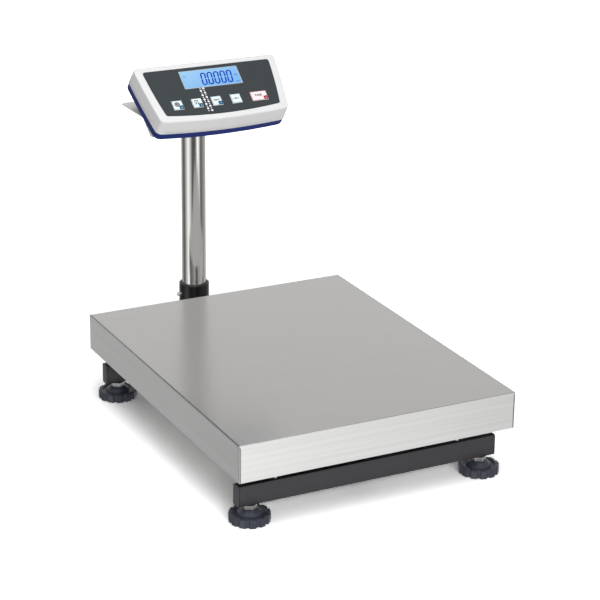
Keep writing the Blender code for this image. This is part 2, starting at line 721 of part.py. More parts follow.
def make_centre_beam(material):
    front = FRONT_BEAM_Y + BEAM_THICKNESS / 2 + GAP
    back = REAR_BEAM_Y - BEAM_THICKNESS / 2 - GAP
    middle = (front + back) / 2
    bm = rect_tube(back - front, CENTRE_BEAM_WIDTH, BEAM_HEIGHT, CENTRE_BEAM_WALL, CENTRE_BEAM_CORNER_RADIUS)
    bmesh.ops.rotate(bm, verts=bm.verts, matrix=Matrix.Rotation(math.pi / 2, 3, "Z"))
    beam = make_object("centre_beam", bm, material, location=(0, middle, BEAM_BOTTOM + BEAM_HEIGHT / 2))
    holes = bmesh.new()
    for y in screw_pair_y(FIXED_END_Y):
        place = y - middle
        add_rod(holes, CELL_SCREW_RADIUS + HOLE_PLAY, (0, place, -BEAM_HEIGHT), (0, place, BEAM_HEIGHT))
    add_boolean(beam, holes, "DIFFERENCE")
    return beam


def make_end_caps(material):
    """Plugs that close the four ends of the cross beams, with their outer corners rounded."""
    plate = rounded_rectangle(BEAM_THICKNESS, BEAM_HEIGHT, BEAM_CORNER_RADIUS)
    small = rounded_rectangle(BEAM_THICKNESS - END_CAP_SOFT, BEAM_HEIGHT - END_CAP_SOFT, BEAM_CORNER_RADIUS)
    inner_thickness = BEAM_THICKNESS - 2 * (BEAM_WALL + GAP)
    plug = rounded_rectangle(inner_thickness, BEAM_HEIGHT - 2 * (BEAM_WALL + GAP), BEAM_CORNER_RADIUS / 2)
    levels = (
        (small, 0), (plate, -END_CAP_SOFT / 2), (plate, -END_CAP_PLATE), (plug, -END_CAP_PLATE),
        (plug, -END_CAP_PLATE - END_CAP_PLUG),
    )
    for name, place in at_corners(BEAM_LENGTH / 2, BEAM_BOTTOM + BEAM_HEIGHT / 2).items():
        side = math.copysign(1, place[0])
        bm = bmesh.new()
        loft(bm, [[(side * x, v, w) for v, w in outline] for outline, x in levels])
        make_object("beam_end_cap_" + name, bm, material, location=place)


def make_overload_stops(material):
    """Hex head screws that stand on the cross beams just under the carrier arms."""
    head_bottom = -STOP_HEAD_HEIGHT
    shank = circle_points(STOP_RADIUS, SMALL_ROUND)
    head = hexagon(STOP_HEAD_FLATS, SMALL_ROUND)
    head_top = ARM_BOTTOM - STOP_TRAVEL
    tip = BEAM_TOP - STOP_ENGAGEMENT - head_top
    bm = bmesh.new()
    levels = ((shank, tip), (shank, head_bottom), (head, head_bottom), (head, 0))
    loft(bm, [at_height(outline, z) for outline, z in levels])
    make_copies("overload_stop", bm, material, at_corners(STOP_HALF_SPACING, head_top), sharp=25)


def make_studs(material):
    """Threaded studs, drawn as plain rods with a chamfered top."""
    bottom = FOOT_FLOOR_THICKNESS + GAP
    profile = [
        (0, bottom), (STUD_RADIUS, bottom), (STUD_RADIUS, bottom + STUD_LENGTH - STUD_CHAMFER),
        (STUD_RADIUS - STUD_CHAMFER, bottom + STUD_LENGTH), (0, bottom + STUD_LENGTH),
    ]
    bm = bmesh.new()
    revolve(bm, profile, SMALL_ROUND, closed=False)
    make_copies("foot_stud", bm, material, at_corners(FOOT_HALF_SPACING, 0))


def knob_angles():
    """Angles round the rim, close together in each notch."""
    pitch = 2 * math.pi / FOOT_LOBES
    shares = (-FOOT_NOTCH_SHARE, 0.0, FOOT_NOTCH_SHARE, 0.5)
    return [(lobe + share) * pitch for lobe in range(FOOT_LOBES) for share in shares]


def knob_radius(angle):
    """Radius of the scalloped rim: nearly flat lobes with a round notch between each two."""
    pitch = 2 * math.pi / FOOT_LOBES
    local = (angle + pitch / 2) % pitch - pitch / 2
    flat = FOOT_RADIUS * math.cos(pitch / 2) / math.cos(pitch / 2 - abs(local))
    lobe = min(flat + FOOT_LOBE_SWELL, FOOT_RADIUS)
    centre = FOOT_RADIUS + FOOT_NOTCH_OUT
    inside = FOOT_NOTCH_RADIUS ** 2 - (centre * math.sin(local)) ** 2
    if inside <= 0:
        return lobe
    return min(lobe, centre * math.cos(local) - math.sqrt(inside))


def knob_ring(inset, z):
    points = []
    for angle in knob_angles():
        radius = knob_radius(angle) - inset
        points.append((radius * math.cos(angle), radius * math.sin(angle), z))
    return points


def make_knobs(material):
    """Scalloped rim, sunk ring inside it, conical hub and a bore for the stud."""
    top = FOOT_RIM_HEIGHT
    dish = top - FOOT_DISH_DEPTH
    bore = STUD_RADIUS + HOLE_PLAY
    soft = FOOT_EDGE_RADIUS
    rings = [knob_ring(soft, 0), knob_ring(0, soft), knob_ring(0, top - soft), knob_ring(soft, top)]
    turned = (
        (FOOT_DISH_RADIUS, top), (FOOT_DISH_RADIUS - soft, dish), (FOOT_HUB_FOOT_RADIUS, dish),
        (FOOT_HUB_FOOT_RADIUS - soft / 2, top + soft), (FOOT_HUB_TOP_RADIUS, FOOT_TOP), (bore, FOOT_TOP),
        (bore, FOOT_FLOOR_THICKNESS),
    )
    count = len(rings[0]) // 2
    rings += [at_height(circle_points(radius, count), z) for radius, z in turned]
    bm = bmesh.new()
    loft(bm, rings)
    make_copies("foot_knob", bm, material, at_corners(FOOT_HALF_SPACING, 0))


def make_lock_nuts(material):
    """Hexagon nuts against the underside of the cross beams."""
    outer = hexagon(LOCK_NUT_FLATS, SMALL_ROUND)
    bore = circle_points(STUD_RADIUS + HOLE_PLAY, SMALL_ROUND)
    levels = ((outer, 0), (outer, LOCK_NUT_HEIGHT), (bore, LOCK_NUT_HEIGHT), (bore, 0))
    bm = bmesh.new()
    loft(bm, [[(-v, u, z) for u, v in outline] for outline, z in levels], closed=True)
    make_copies("foot_lock_nut", bm, material, at_corners(FOOT_HALF_SPACING, NUT_BOTTOM), sharp=25)


def bracket_outline(offset):
    """Plan of the column bracket: straight sides from the rear beam, half round behind the column."""
    radius = BRACKET_END_RADIUS + offset
    front = REAR_BEAM_BACK_Y + GAP - COLUMN_Y - offset
    return [(radius, front)] + arc((0, 0), radius, 0, math.pi, BRACKET_STEPS) + [(-radius, front)]


def make_column_bracket(material):
    """Deep-drawn tray, open below, bolted to the back of the rear beam."""
    top = BEAM_TOP
    bottom = BEAM_BOTTOM
    soft = BRACKET_SOFT
    rings = [
        at_height(bracket_outline(-soft), top), at_height(bracket_outline(0), top - soft),
        at_height(bracket_outline(0), bottom), at_height(bracket_outline(-BRACKET_WALL), bottom),
        at_height(bracket_outline(-BRACKET_WALL), top - BRACKET_WALL),
    ]
    bm = bmesh.new()
    loft(bm, rings)
    bracket = make_object("column_bracket", bm, material, location=(0, COLUMN_Y, 0))
    holes = bmesh.new()
    bolt_z = BEAM_BOTTOM + BEAM_HEIGHT / 2
    front = REAR_BEAM_BACK_Y - COLUMN_Y
    for x in mirror_x(BRACKET_BOLT_HALF_SPACING):
        start = (x, front - BRACKET_WALL, bolt_z)
        add_rod(holes, BRACKET_BOLT_RADIUS + HOLE_PLAY, start, (x, front + 3 * BRACKET_WALL, bolt_z))
    for x, y in flange_screw_places():
        low = top - 2 * BRACKET_WALL
        add_rod(holes, FLANGE_SCREW_RADIUS + HOLE_PLAY, (x, y, low), (x, y, top + BRACKET_WALL), TINY_ROUND)
    add_boolean(bracket, holes, "DIFFERENCE")
    return bracket


def flange_screw_places():
    """Plan positions round the column axis, clear of the clamp screw's side."""
    angles = [math.radians(45 + 90 * i) for i in range(4)]
    return [(FLANGE_SCREW_CIRCLE * math.cos(a), FLANGE_SCREW_CIRCLE * math.sin(a)) for a in angles]


def make_bracket_bolts(material):
    """Hexagon bolts from inside the bracket into the rear beam."""
    seat = REAR_BEAM_BACK_Y + BRACKET_WALL + 2 * GAP
    reach = BRACKET_WALL + BEAM_THICKNESS - BEAM_WALL
    shank = circle_points(BRACKET_BOLT_RADIUS, SMALL_ROUND)
    head = hexagon(BRACKET_BOLT_FLATS, SMALL_ROUND)
    levels = ((shank, -reach), (shank, 0), (head, 0), (head, BRACKET_BOLT_HEAD))
    bm = bmesh.new()
    loft(bm, [[(u, y, v) for u, v in outline] for outline, y in levels])
    height = BEAM_BOTTOM + BEAM_HEIGHT / 2
    places = {name: (x, seat, height) for name, x in side_places(BRACKET_BOLT_HALF_SPACING)}
    make_copies("bracket_bolt", bm, material, places, sharp=25)


def make_socket(material):
    """Flanged sleeve that clamps the column's foot."""
    inner = COLUMN_RADIUS + GAP
    outer = inner + SOCKET_WALL - GAP
    soft = SOCKET_SOFT
    profile = [
        (inner, 0), (SOCKET_FLANGE_RADIUS, 0), (SOCKET_FLANGE_RADIUS, SOCKET_FLANGE_HEIGHT - soft),
        (SOCKET_FLANGE_RADIUS - soft, SOCKET_FLANGE_HEIGHT), (outer + SOCKET_FILLET, SOCKET_FLANGE_HEIGHT),
        (outer, SOCKET_FLANGE_HEIGHT + SOCKET_FILLET), (outer, SOCKET_HEIGHT - soft),
        (outer - soft, SOCKET_HEIGHT),
        (inner + soft / 2, SOCKET_HEIGHT), (inner, SOCKET_HEIGHT - soft / 2),
    ]
    bm = bmesh.new()
    revolve(bm, profile)
    socket = make_object("column_socket", bm, material, location=(0, COLUMN_Y, SOCKET_BOTTOM))
    holes = bmesh.new()
    start = (-outer - SOCKET_WALL, 0, CLAMP_SCREW_HEIGHT)
    add_rod(holes, CLAMP_SCREW_RADIUS + HOLE_PLAY, start, (-inner + SOCKET_WALL, 0, CLAMP_SCREW_HEIGHT))
    for x, y in flange_screw_places():
        high = SOCKET_FLANGE_HEIGHT + SOCKET_WALL
        add_rod(holes, FLANGE_SCREW_RADIUS + HOLE_PLAY, (x, y, -SOCKET_WALL), (x, y, high), TINY_ROUND)
    add_boolean(socket, holes, "DIFFERENCE")
    return socket


def make_clamp_screw(material):
    """Set screw with a hexagon socket, through the left side of the column socket."""
    tip = COLUMN_RADIUS + GAP
    end = COLUMN_RADIUS + SOCKET_WALL + CLAMP_SCREW_PROUD
    floor = end - CLAMP_SOCKET_DEPTH
    soft = CLAMP_SCREW_CHAMFER
    narrow = CLAMP_SCREW_RADIUS - soft
    profile = [
        (0, tip), (narrow, tip), (CLAMP_SCREW_RADIUS, tip + soft), (CLAMP_SCREW_RADIUS, end - soft),
        (narrow, end), (CLAMP_SOCKET_RADIUS, end), (CLAMP_SOCKET_RADIUS, floor), (0, floor),
    ]
    bm = bmesh.new()
    revolve(bm, profile, SMALL_ROUND, closed=False, matrix=Matrix.Rotation(-math.pi / 2, 4, "Y"))
    place = (0, COLUMN_Y, SOCKET_BOTTOM + CLAMP_SCREW_HEIGHT)
    return make_object("clamp_screw", bm, material, location=place)


def make_column(material):
    inner = COLUMN_RADIUS - COLUMN_WALL
    profile = [(inner, 0), (COLUMN_RADIUS, 0), (COLUMN_RADIUS, COLUMN_LENGTH), (inner, COLUMN_LENGTH)]
    bm = bmesh.new()
    revolve(bm, profile)
    return make_object("column_tube", bm, material, location=(0, COLUMN_Y, COLUMN_BOTTOM))


def make_column_plug(material):
    """Plug in the top of the column, with a flange that carries the display bracket."""
    inner = COLUMN_RADIUS - COLUMN_WALL - GAP
    soft = PLUG_CHAMFER
    profile = [
        (0, -PLUG_DEPTH), (inner - soft, -PLUG_DEPTH), (inner, -PLUG_DEPTH + soft), (inner, 0),
        (COLUMN_RADIUS, 0), (COLUMN_RADIUS, PLUG_FLANGE_HEIGHT), (0, PLUG_FLANGE_HEIGHT),
    ]
    bm = bmesh.new()
    revolve(bm, profile, closed=False)
    plug = make_object("column_plug", bm, material, location=(0, COLUMN_Y, PLUG_FLANGE_BOTTOM))
    holes = bmesh.new()
    for x in mirror_x(PLUG_SCREW_HALF_SPACING):
        deep = PLUG_FLANGE_HEIGHT - PLUG_SCREW_LENGTH
        add_rod(holes, PLUG_SCREW_RADIUS + HOLE_PLAY, (x, 0, deep), (x, 0, 2 * PLUG_FLANGE_HEIGHT))
    add_boolean(plug, holes, "DIFFERENCE")
    return plug


def make_level(body_material, vial_material):
    """Round bubble level on the column bracket, between the pan and the socket."""
    place = (0, PAN_BACK_Y + LEVEL_BEHIND_PAN, BEAM_TOP + GAP)
    floor = LEVEL_HEIGHT - LEVEL_VIAL_HEIGHT - GAP
    bore = LEVEL_VIAL_RADIUS + GAP
    soft = LEVEL_SOFT
    body = bmesh.new()
    profile = [
        (0, 0), (LEVEL_RADIUS, 0), (LEVEL_RADIUS, LEVEL_HEIGHT - soft), (LEVEL_RADIUS - soft, LEVEL_HEIGHT),
        (bore, LEVEL_HEIGHT), (bore, floor), (0, floor),
    ]
    revolve(body, profile, LEVEL_ROUND, closed=False)
    make_object("level_body", body, body_material, location=place)
    vial = bmesh.new()
    low = floor + GAP
    profile = [
        (0, low), (LEVEL_VIAL_RADIUS, low), (LEVEL_VIAL_RADIUS, LEVEL_HEIGHT - soft), (0, LEVEL_HEIGHT),
    ]
    revolve(vial, profile, LEVEL_ROUND, closed=False)
    make_object("level_vial", vial, vial_material, location=place)


def holder_profile():
    """Side view of the folded bracket as (y, z) from the column axis and the plug's top, top face first."""
    bend = -HOLDER_REACH
    slope = Vector((-math.cos(DISPLAY_TILT), -math.sin(DISPLAY_TILT)))
    top = [(HOLDER_TAIL, HOLDER_SHEET), (bend, HOLDER_SHEET)]
    end = Vector(top[1]) + slope * HOLDER_SLOPE_LENGTH
    normal = Vector((math.sin(DISPLAY_TILT), -math.cos(DISPLAY_TILT)))
    low_end = end + normal * HOLDER_SHEET
    shift = HOLDER_SHEET * math.tan(DISPLAY_TILT / 2)
    return top + [tuple(end), tuple(low_end), (bend + shift, 0), (HOLDER_TAIL, 0)]


def make_holder(material):
    """Folded sheet: a level leg on the column's plug, a sloping leg under the display."""
    profile = holder_profile()
    half = HOLDER_WIDTH / 2
    bm = bmesh.new()
    loft(bm, [[(x, y, z) for y, z in profile] for x in (-half, half)])
    tail_edges = [edge for edge in bm.edges if is_holder_corner(edge)]
    bmesh.ops.bevel(
        bm, geom=tail_edges, offset=HOLDER_CORNER_RADIUS, segments=HOLDER_CORNER_STEPS, profile=0.5,
        affect="EDGES", clamp_overlap=True
    )
    holder = make_object("display_holder", bm, material, location=(0, COLUMN_Y, HOLDER_BOTTOM))
    holes = bmesh.new()
    for x in mirror_x(PLUG_SCREW_HALF_SPACING):
        add_rod(holes, PLUG_SCREW_RADIUS + HOLE_PLAY, (x, 0, -HOLDER_SHEET), (x, 0, 2 * HOLDER_SHEET))
    for x, y, z, direction in holder_screw_seats():
        start = Vector((x, y, z)) - direction * 2 * HOLDER_SHEET
        add_rod(holes, CASE_SCREW_RADIUS + HOLE_PLAY, start, start + direction * 4 * HOLDER_SHEET, TINY_ROUND)
    add_boolean(holder, holes, "DIFFERENCE")
    return holder


def is_holder_corner(edge):
    """Short edges through the sheet at the outer corners of both legs."""
    half = HOLDER_WIDTH / 2
    ends = [vert.co for vert in edge.verts]
    if any(abs(abs(co.x) - half) > 1e-6 for co in ends) or ends[0].x * ends[1].x < 0:
        return False
    at_tail = all(abs(co.y - HOLDER_TAIL) < 1e-6 for co in ends)
    return at_tail or edge_is_slope_end(ends)


def edge_is_slope_end(ends):
    low = -HOLDER_REACH - HOLDER_SLOPE_LENGTH * math.cos(DISPLAY_TILT)
    return all(co.y < low + 2 * HOLDER_SHEET for co in ends)


def holder_screw_seats():
    """Centres of the sloping leg's screw holes on its underside, in the holder's own frame."""
    slope = Vector((0, -math.cos(DISPLAY_TILT), -math.sin(DISPLAY_TILT)))
    outward = Vector((0, math.sin(DISPLAY_TILT), -math.cos(DISPLAY_TILT)))
    bend = Vector((0, -HOLDER_REACH, HOLDER_SHEET))
    centre = bend + slope * HOLDER_SCREW_DOWN_SLOPE + outward * HOLDER_SHEET
    return [(x, centre.y, centre.z, outward) for x in mirror_x(HOLDER_SCREW_HALF_SPACING)]


def make_holder_screws(material):
    """Two screws from the level leg into the plug."""
    reach = HOLDER_SHEET + PLUG_SCREW_LENGTH - 4 * GAP
    profile = [
        (0, PLUG_SCREW_HEAD_HEIGHT), (PLUG_SCREW_CROWN_RADIUS, PLUG_SCREW_HEAD_HEIGHT),
        (PLUG_SCREW_HEAD_RADIUS, PLUG_SCREW_RIM_HEIGHT), (PLUG_SCREW_HEAD_RADIUS, 0),
        (PLUG_SCREW_RADIUS, 0), (PLUG_SCREW_RADIUS, -reach), (0, -reach),
    ]
    bm = bmesh.new()
    revolve(bm, profile, SMALL_ROUND, closed=False)
    places = {name: (x, COLUMN_Y, HOLDER_TOP + GAP) for name, x in side_places(PLUG_SCREW_HALF_SPACING)}
    make_copies("holder_screw", bm, material, places)


def make_display_frame():
    """Empty at the middle of the display's face, tilted so that its Z leaves the face."""
    up_slope = Vector((0, math.cos(DISPLAY_TILT), math.sin(DISPLAY_TILT)))
    outward = Vector((0, -math.sin(DISPLAY_TILT), math.cos(DISPLAY_TILT)))
    bend = Vector((0, COLUMN_Y - HOLDER_REACH, HOLDER_TOP))
    place = bend + up_slope * DISPLAY_UP_SLOPE + outward * (BACK_DEPTH + GAP)
    return make_empty("display_frame", place, DISPLAY_TILT)


def round_edge(radius, steps=4):
    """Offsets and drops of a rounded edge, from the flat face to the side."""
    angles = [math.pi / 2 * i / steps for i in range(steps + 1)]
    return [(-radius * (1 - math.sin(a)), -radius * (1 - math.cos(a))) for a in angles]


def board_post_places():
    half_width = BOARD_WIDTH / 2 - BOARD_POST_INSET
    half_height = BOARD_HEIGHT / 2 - BOARD_POST_INSET
    return [(x, y) for x in mirror_x(half_width) for y in mirror_x(half_height)]


def key_stem_size(width, play):
    return (width - KEY_WIDTH + KEY_STEM + play, KEY_STEM + play)


def make_upper_housing(material, frame):
    """White shell with a rounded rim, flared sides, a recess for the panel and bosses inside."""
    seam = -SEAM_DEPTH
    rings = [at_height(face_outline(offset), drop) for offset, drop in round_edge(FACE_EDGE_RADIUS)]
    rings += [
        at_height(face_outline(SHELL_FLARE), seam),
        at_height(face_outline(SHELL_FLARE - SHELL_WALL), seam),
        at_height(face_outline(-SHELL_WALL), -SHELL_CEILING),
    ]
    bm = bmesh.new()
    loft(bm, rings)
    shell = make_object("housing_upper", bm, material, frame)
    bosses = bmesh.new()
    for x, y in boss_places():
        add_rod(bosses, BOSS_RADIUS, (x, y, seam + GAP), (x, y, -SHELL_CEILING + GAP), SMALL_ROUND)
    for x, y in board_post_places():
        post_end = (x, y, -BOARD_DEPTH + GAP)
        add_rod(bosses, BOARD_POST_RADIUS, post_end, (x, y, -SHELL_CEILING + GAP), TINY_ROUND)
    add_boolean(shell, bosses, "UNION")
    recess = bmesh.new()
    add_prism(recess, panel_outline(GAP), -PANEL_SEAT, PANEL_SEAT)
    add_boolean(shell, recess, "DIFFERENCE")
    holes = bmesh.new()
    size = (WINDOW_WIDTH + 2 * GAP, WINDOW_HEIGHT + 2 * GAP, 4 * SHELL_CEILING)
    add_box(holes, size, (0, WINDOW_CENTRE_UP, -SHELL_CEILING))
    for _, x, width in key_places():
        stem_hole = (*key_stem_size(width, 2 * GAP), 4 * SHELL_CEILING)
        add_box(holes, stem_hole, (x, -KEY_CENTRE_DOWN, -SHELL_CEILING))
    for x, y in boss_places():
        end = (x, y, CASE_SCREW_TIP + GAP)
        add_rod(holes, CASE_SCREW_RADIUS + HOLE_PLAY, (x, y, seam - SHELL_WALL), end, TINY_ROUND)
    inside = FACE_TOP - 3 * SHELL_WALL
    outside = FACE_TOP + 3 * SHELL_WALL
    for x, radius in ((JACK_X, JACK_RADIUS), (GLAND_X, GLAND_RADIUS)):
        add_rod(holes, radius + GAP, (x, inside, -PORT_DEPTH), (x, outside, -PORT_DEPTH), PORT_ROUND)
    add_boolean(shell, holes, "DIFFERENCE")
    return shell


def lower_housing_rings():
    """Rings from the inner floor up to the seam and down the outside to the back."""
    rim = SHELL_FLARE - SEAM_STEP
    back = -BACK_DEPTH
    floor = back + SHELL_WALL
    seam = -SEAM_DEPTH - GAP
    inner_edge = round_edge(BACK_EDGE_RADIUS / 2, 2)
    levels = [(rim - SHELL_WALL + offset, floor - drop) for offset, drop in inner_edge]
    levels += [(rim - SHELL_WALL, seam), (rim, seam)]
    levels += [(rim + offset, back - drop) for offset, drop in reversed(round_edge(BACK_EDGE_RADIUS))]
    return [at_height(face_outline(offset), z) for offset, z in levels]


def make_lower_housing(material, frame):
    """Navy shell that closes the back, with posts for the case screws and for the holder's screws."""
    bm = bmesh.new()
    loft(bm, lower_housing_rings())
    shell = make_object("housing_lower", bm, material, frame)
    back = -BACK_DEPTH
    floor = back + SHELL_WALL
    seam = -SEAM_DEPTH - GAP
    holder_posts = [(x, holder_screw_up()) for x in mirror_x(HOLDER_SCREW_HALF_SPACING)]
    posts = bmesh.new()
    for x, y in boss_places():
        add_rod(posts, BOSS_RADIUS, (x, y, floor - GAP), (x, y, seam))
    for x, y in holder_posts:
        add_rod(posts, BOSS_RADIUS, (x, y, floor - GAP), (x, y, floor + HOLDER_POST_HEIGHT))
    add_boolean(shell, posts, "UNION")
    holes = bmesh.new()
    play = CASE_SCREW_RADIUS + HOLE_PLAY
    for x, y in boss_places():
        add_rod(holes, play, (x, y, back - SHELL_WALL), (x, y, seam + SHELL_WALL), TINY_ROUND)
    for x, y in holder_posts:
        add_rod(holes, play, (x, y, back - SHELL_WALL), (x, y, floor + HOLDER_POST_HEIGHT - GAP), TINY_ROUND)
    add_boolean(shell, holes, "DIFFERENCE")
    sinks = bmesh.new()
    for x, y in boss_places():
        wide = CASE_SCREW_HEAD_RADIUS + GAP
        add_rod(sinks, wide, (x, y, back - SHELL_WALL), (x, y, back + CASE_SCREW_SUNK - GAP))
    add_boolean(shell, sinks, "DIFFERENCE")
    return shell


def holder_screw_up():
    """Place of the holder's screws up the slope, from the middle of the face."""
    return -DISPLAY_UP_SLOPE - HOLDER_SCREW_DOWN_SLOPE


def make_front_panel(material, frame):
    """Grey panel let into the face, with openings for the window and the keys."""
    bottom = -PANEL_SUNK - PANEL_THICKNESS
    bm = bmesh.new()
    add_prism(bm, panel_outline(0), bottom, -PANEL_SUNK)
    panel = make_object("front_panel", bm, material, frame)
    holes = bmesh.new()
    deep = 4 * PANEL_THICKNESS
    add_box(holes, (WINDOW_WIDTH + 2 * GAP, WINDOW_HEIGHT + 2 * GAP, deep), (0, WINDOW_CENTRE_UP, bottom))
    for _, x, width in key_places():
        add_box(holes, (width + 2 * GAP, KEY_HEIGHT + 2 * GAP, deep), (x, -KEY_CENTRE_DOWN, bottom))
    add_boolean(panel, holes, "DIFFERENCE")
    return panel


def make_window(material, frame):
    bm = bmesh.new()
    top = -PANEL_SUNK
    outline = rounded_rectangle(WINDOW_WIDTH, WINDOW_HEIGHT, WINDOW_CORNER, 2)
    add_prism(bm, outline, top - WINDOW_THICKNESS, top)
    return make_object("lcd_window", bm, material, frame, (0, WINDOW_CENTRE_UP, 0))


def make_lcd(material, frame):
    """Glass that fills the window opening, on a wider body behind the shell."""
    glass = rounded_rectangle(WINDOW_WIDTH - 2 * GAP, WINDOW_HEIGHT - 2 * GAP, WINDOW_CORNER, 2)
    body = rounded_rectangle(WINDOW_WIDTH + 2 * LCD_MARGIN, WINDOW_HEIGHT + 2 * LCD_MARGIN, WINDOW_CORNER, 2)
    levels = (
        (glass, -LCD_FACE_DEPTH), (glass, -LCD_BODY_DEPTH), (body, -LCD_BODY_DEPTH),
        (body, -LCD_BODY_DEPTH - LCD_BODY_THICKNESS),
    )
    bm = bmesh.new()
    loft(bm, [at_height(outline, z) for outline, z in levels])
    return make_object("lcd_module", bm, material, frame, (0, WINDOW_CENTRE_UP, 0))


def make_keys(materials, frame):
    """Key caps with stems that reach the switches; each origin is on the key's own axis."""
    soft = KEY_SOFT
    for name, x, width in key_places():
        top = rounded_rectangle(width - 2 * soft, KEY_HEIGHT - 2 * soft, KEY_CORNER, 2)
        plate = rounded_rectangle(width, KEY_HEIGHT, KEY_CORNER, 2)
        stem = rounded_rectangle(*key_stem_size(width, 0), KEY_CORNER, 2)
        levels = (
            (top, KEY_PROUD), (plate, KEY_PROUD - soft), (plate, -KEY_PLATE_BOTTOM),
            (stem, -KEY_PLATE_BOTTOM), (stem, -KEY_STEM_BOTTOM),
        )
        bm = bmesh.new()
        loft(bm, [at_height(outline, z) for outline, z in levels])
        material = materials["wide"] if width > KEY_WIDTH else materials["square"]
        make_object(name, bm, material, frame, (x, -KEY_CENTRE_DOWN, 0))


def make_board(material, frame):
    """Circuit board with a push switch soldered on under each key."""
    bm = bmesh.new()
    add_box(bm, (BOARD_WIDTH, BOARD_HEIGHT, BOARD_THICKNESS), (0, 0, -BOARD_DEPTH - BOARD_THICKNESS / 2))
    board = make_object("main_board", bm, material, frame)
    root = -BOARD_DEPTH - BOARD_THICKNESS / 2
    button_top = -SWITCH_TOP_DEPTH
    body_top = button_top - SWITCH_BUTTON_HEIGHT
    body = rounded_rectangle(SWITCH_WIDTH, SWITCH_WIDTH, SWITCH_WIDTH / 8, 1)
    button = circle_points(SWITCH_BUTTON_RADIUS, len(body))
    levels = ((body, root), (body, body_top), (button, body_top), (button, button_top))
    switches = bmesh.new()
    for _, x, _ in key_places():
        loft(switches, [[(x + u, v - KEY_CENTRE_DOWN, z) for u, v in outline] for outline, z in levels])
    add_boolean(board, switches, "UNION")


def make_battery(material, frame):
    """Rechargeable pack on the floor of the lower housing."""
    floor = -BACK_DEPTH + SHELL_WALL + GAP
    soft = BATTERY_SOFT
    whole = rounded_rectangle(BATTERY_WIDTH, BATTERY_HEIGHT, soft)
    small = rounded_rectangle(BATTERY_WIDTH - soft, BATTERY_HEIGHT - soft, soft)
    levels = ((whole, floor), (whole, floor + BATTERY_THICKNESS - soft), (small, floor + BATTERY_THICKNESS))
    bm = bmesh.new()
    loft(bm, [at_height(outline, z) for outline, z in levels])
    return make_object("battery_pack", bm, material, frame, (0, BATTERY_UP, 0))


def port_matrix(x):
    """Turns a shape built along Z so that it leaves the terminal's top side."""
    return Matrix.Translation((x, FACE_TOP, -PORT_DEPTH)) @ Matrix.Rotation(-math.pi / 2, 4, "X")


def make_jack(material, frame):
    """Barrel of the mains adapter's socket, open outwards."""
    out = SHELL_FLARE + 2 * GAP
    floor = out - JACK_LENGTH + SHELL_WALL
    profile = [
        (0, out - JACK_LENGTH), (JACK_RADIUS, out - JACK_LENGTH), (JACK_RADIUS, out), (JACK_BORE_RADIUS, out),
        (JACK_BORE_RADIUS, floor), (0, floor),
    ]
    bm = bmesh.new()
    revolve(bm, profile, PORT_ROUND, closed=False, matrix=port_matrix(JACK_X))
    return make_object("power_jack", bm, material, frame)


def make_gland(material, frame):
    """Gland for the load cell's lead: barrel in the wall, hexagon and domed end outside it."""
    seat = SHELL_FLARE + FACE_TOP_BOW + GAP
    nut_end = seat + GLAND_NUT_LENGTH
    tip = nut_end + GLAND_END_LENGTH
    inner_end = tip - GLAND_LENGTH
    barrel = circle_points(GLAND_RADIUS, PORT_ROUND)
    dome = circle_points(GLAND_RADIUS - GLAND_END_SOFT, PORT_ROUND)
    nut = hexagon(GLAND_NUT_FLATS, PORT_ROUND)
    bore = circle_points(GLAND_BORE_RADIUS, PORT_ROUND)
    levels = (
        (bore, inner_end), (barrel, inner_end), (barrel, seat), (nut, seat), (nut, nut_end),
        (barrel, nut_end), (barrel, nut_end + GLAND_END_STRAIGHT), (dome, tip), (bore, tip),
    )
    bm = bmesh.new()
    loft(bm, [at_height(outline, z) for outline, z in levels], closed=True)
    bmesh.ops.transform(bm, matrix=port_matrix(GLAND_X), verts=bm.verts)
    return make_object("cable_gland", bm, material, frame, sharp=25)


def build_platform():
    brushed = make_material("brushed_steel", (0.62, 0.61, 0.59), 0.36, 1.0)
    powder = make_material("grey_powder_coat", (0.075, 0.072, 0.078), 0.55)
    zinc = make_material("bright_zinc", (0.80, 0.81, 0.82), 0.28, 1.0)
    alloy = make_material("milled_aluminium", (0.70, 0.71, 0.72), 0.40, 1.0)
    rubber = make_material("black_rubber", (0.02, 0.02, 0.022), 0.75)
    knob_plastic = make_material("knob_plastic", (0.022, 0.023, 0.027), 0.42)
    cap_plastic = make_material("cap_plastic", (0.085, 0.083, 0.088), 0.5)
    make_pan(brushed)
    make_bumpers(rubber)
    make_carrier_arm("carrier_front_arm", FRONT_BEAM_Y, powder)
    make_carrier_arm("carrier_rear_arm", REAR_BEAM_Y, powder)
    make_carrier_spine(powder)
    make_spacer("upper_spacer", FREE_END_Y, UPPER_SPACER_BOTTOM, zinc)
    make_load_cell(alloy)
    make_spacer("lower_spacer", FIXED_END_Y, LOWER_SPACER_BOTTOM, zinc)
    make_cross_beam("front_beam", FRONT_BEAM_Y, powder)
    make_cross_beam("rear_beam", REAR_BEAM_Y, powder, bolted=True)
    make_centre_beam(powder)
    make_end_caps(cap_plastic)
    make_overload_stops(zinc)
    make_knobs(knob_plastic)
    make_studs(zinc)
    make_lock_nuts(zinc)


def build_column():
    black = make_material("black_powder_coat", (0.03, 0.03, 0.032), 0.45)
    zinc = make_material("zinc_screws", (0.80, 0.81, 0.82), 0.28, 1.0)
    polished = make_material("polished_steel", (0.68, 0.67, 0.65), 0.22, 1.0)
    holder_grey = make_material("light_grey_sheet", (0.62, 0.62, 0.60), 0.45)
    plug_black = make_material("plug_plastic", (0.03, 0.03, 0.03), 0.5)
    level_green = make_material("level_green", (0.55, 0.75, 0.20), 0.15)
    make_column_bracket(black)
    make_bracket_bolts(zinc)
    make_socket(black)
    make_clamp_screw(zinc)
    make_level(black, level_green)
    make_column(polished)
    make_column_plug(plug_black)
    make_holder(holder_grey)
    make_holder_screws(zinc)


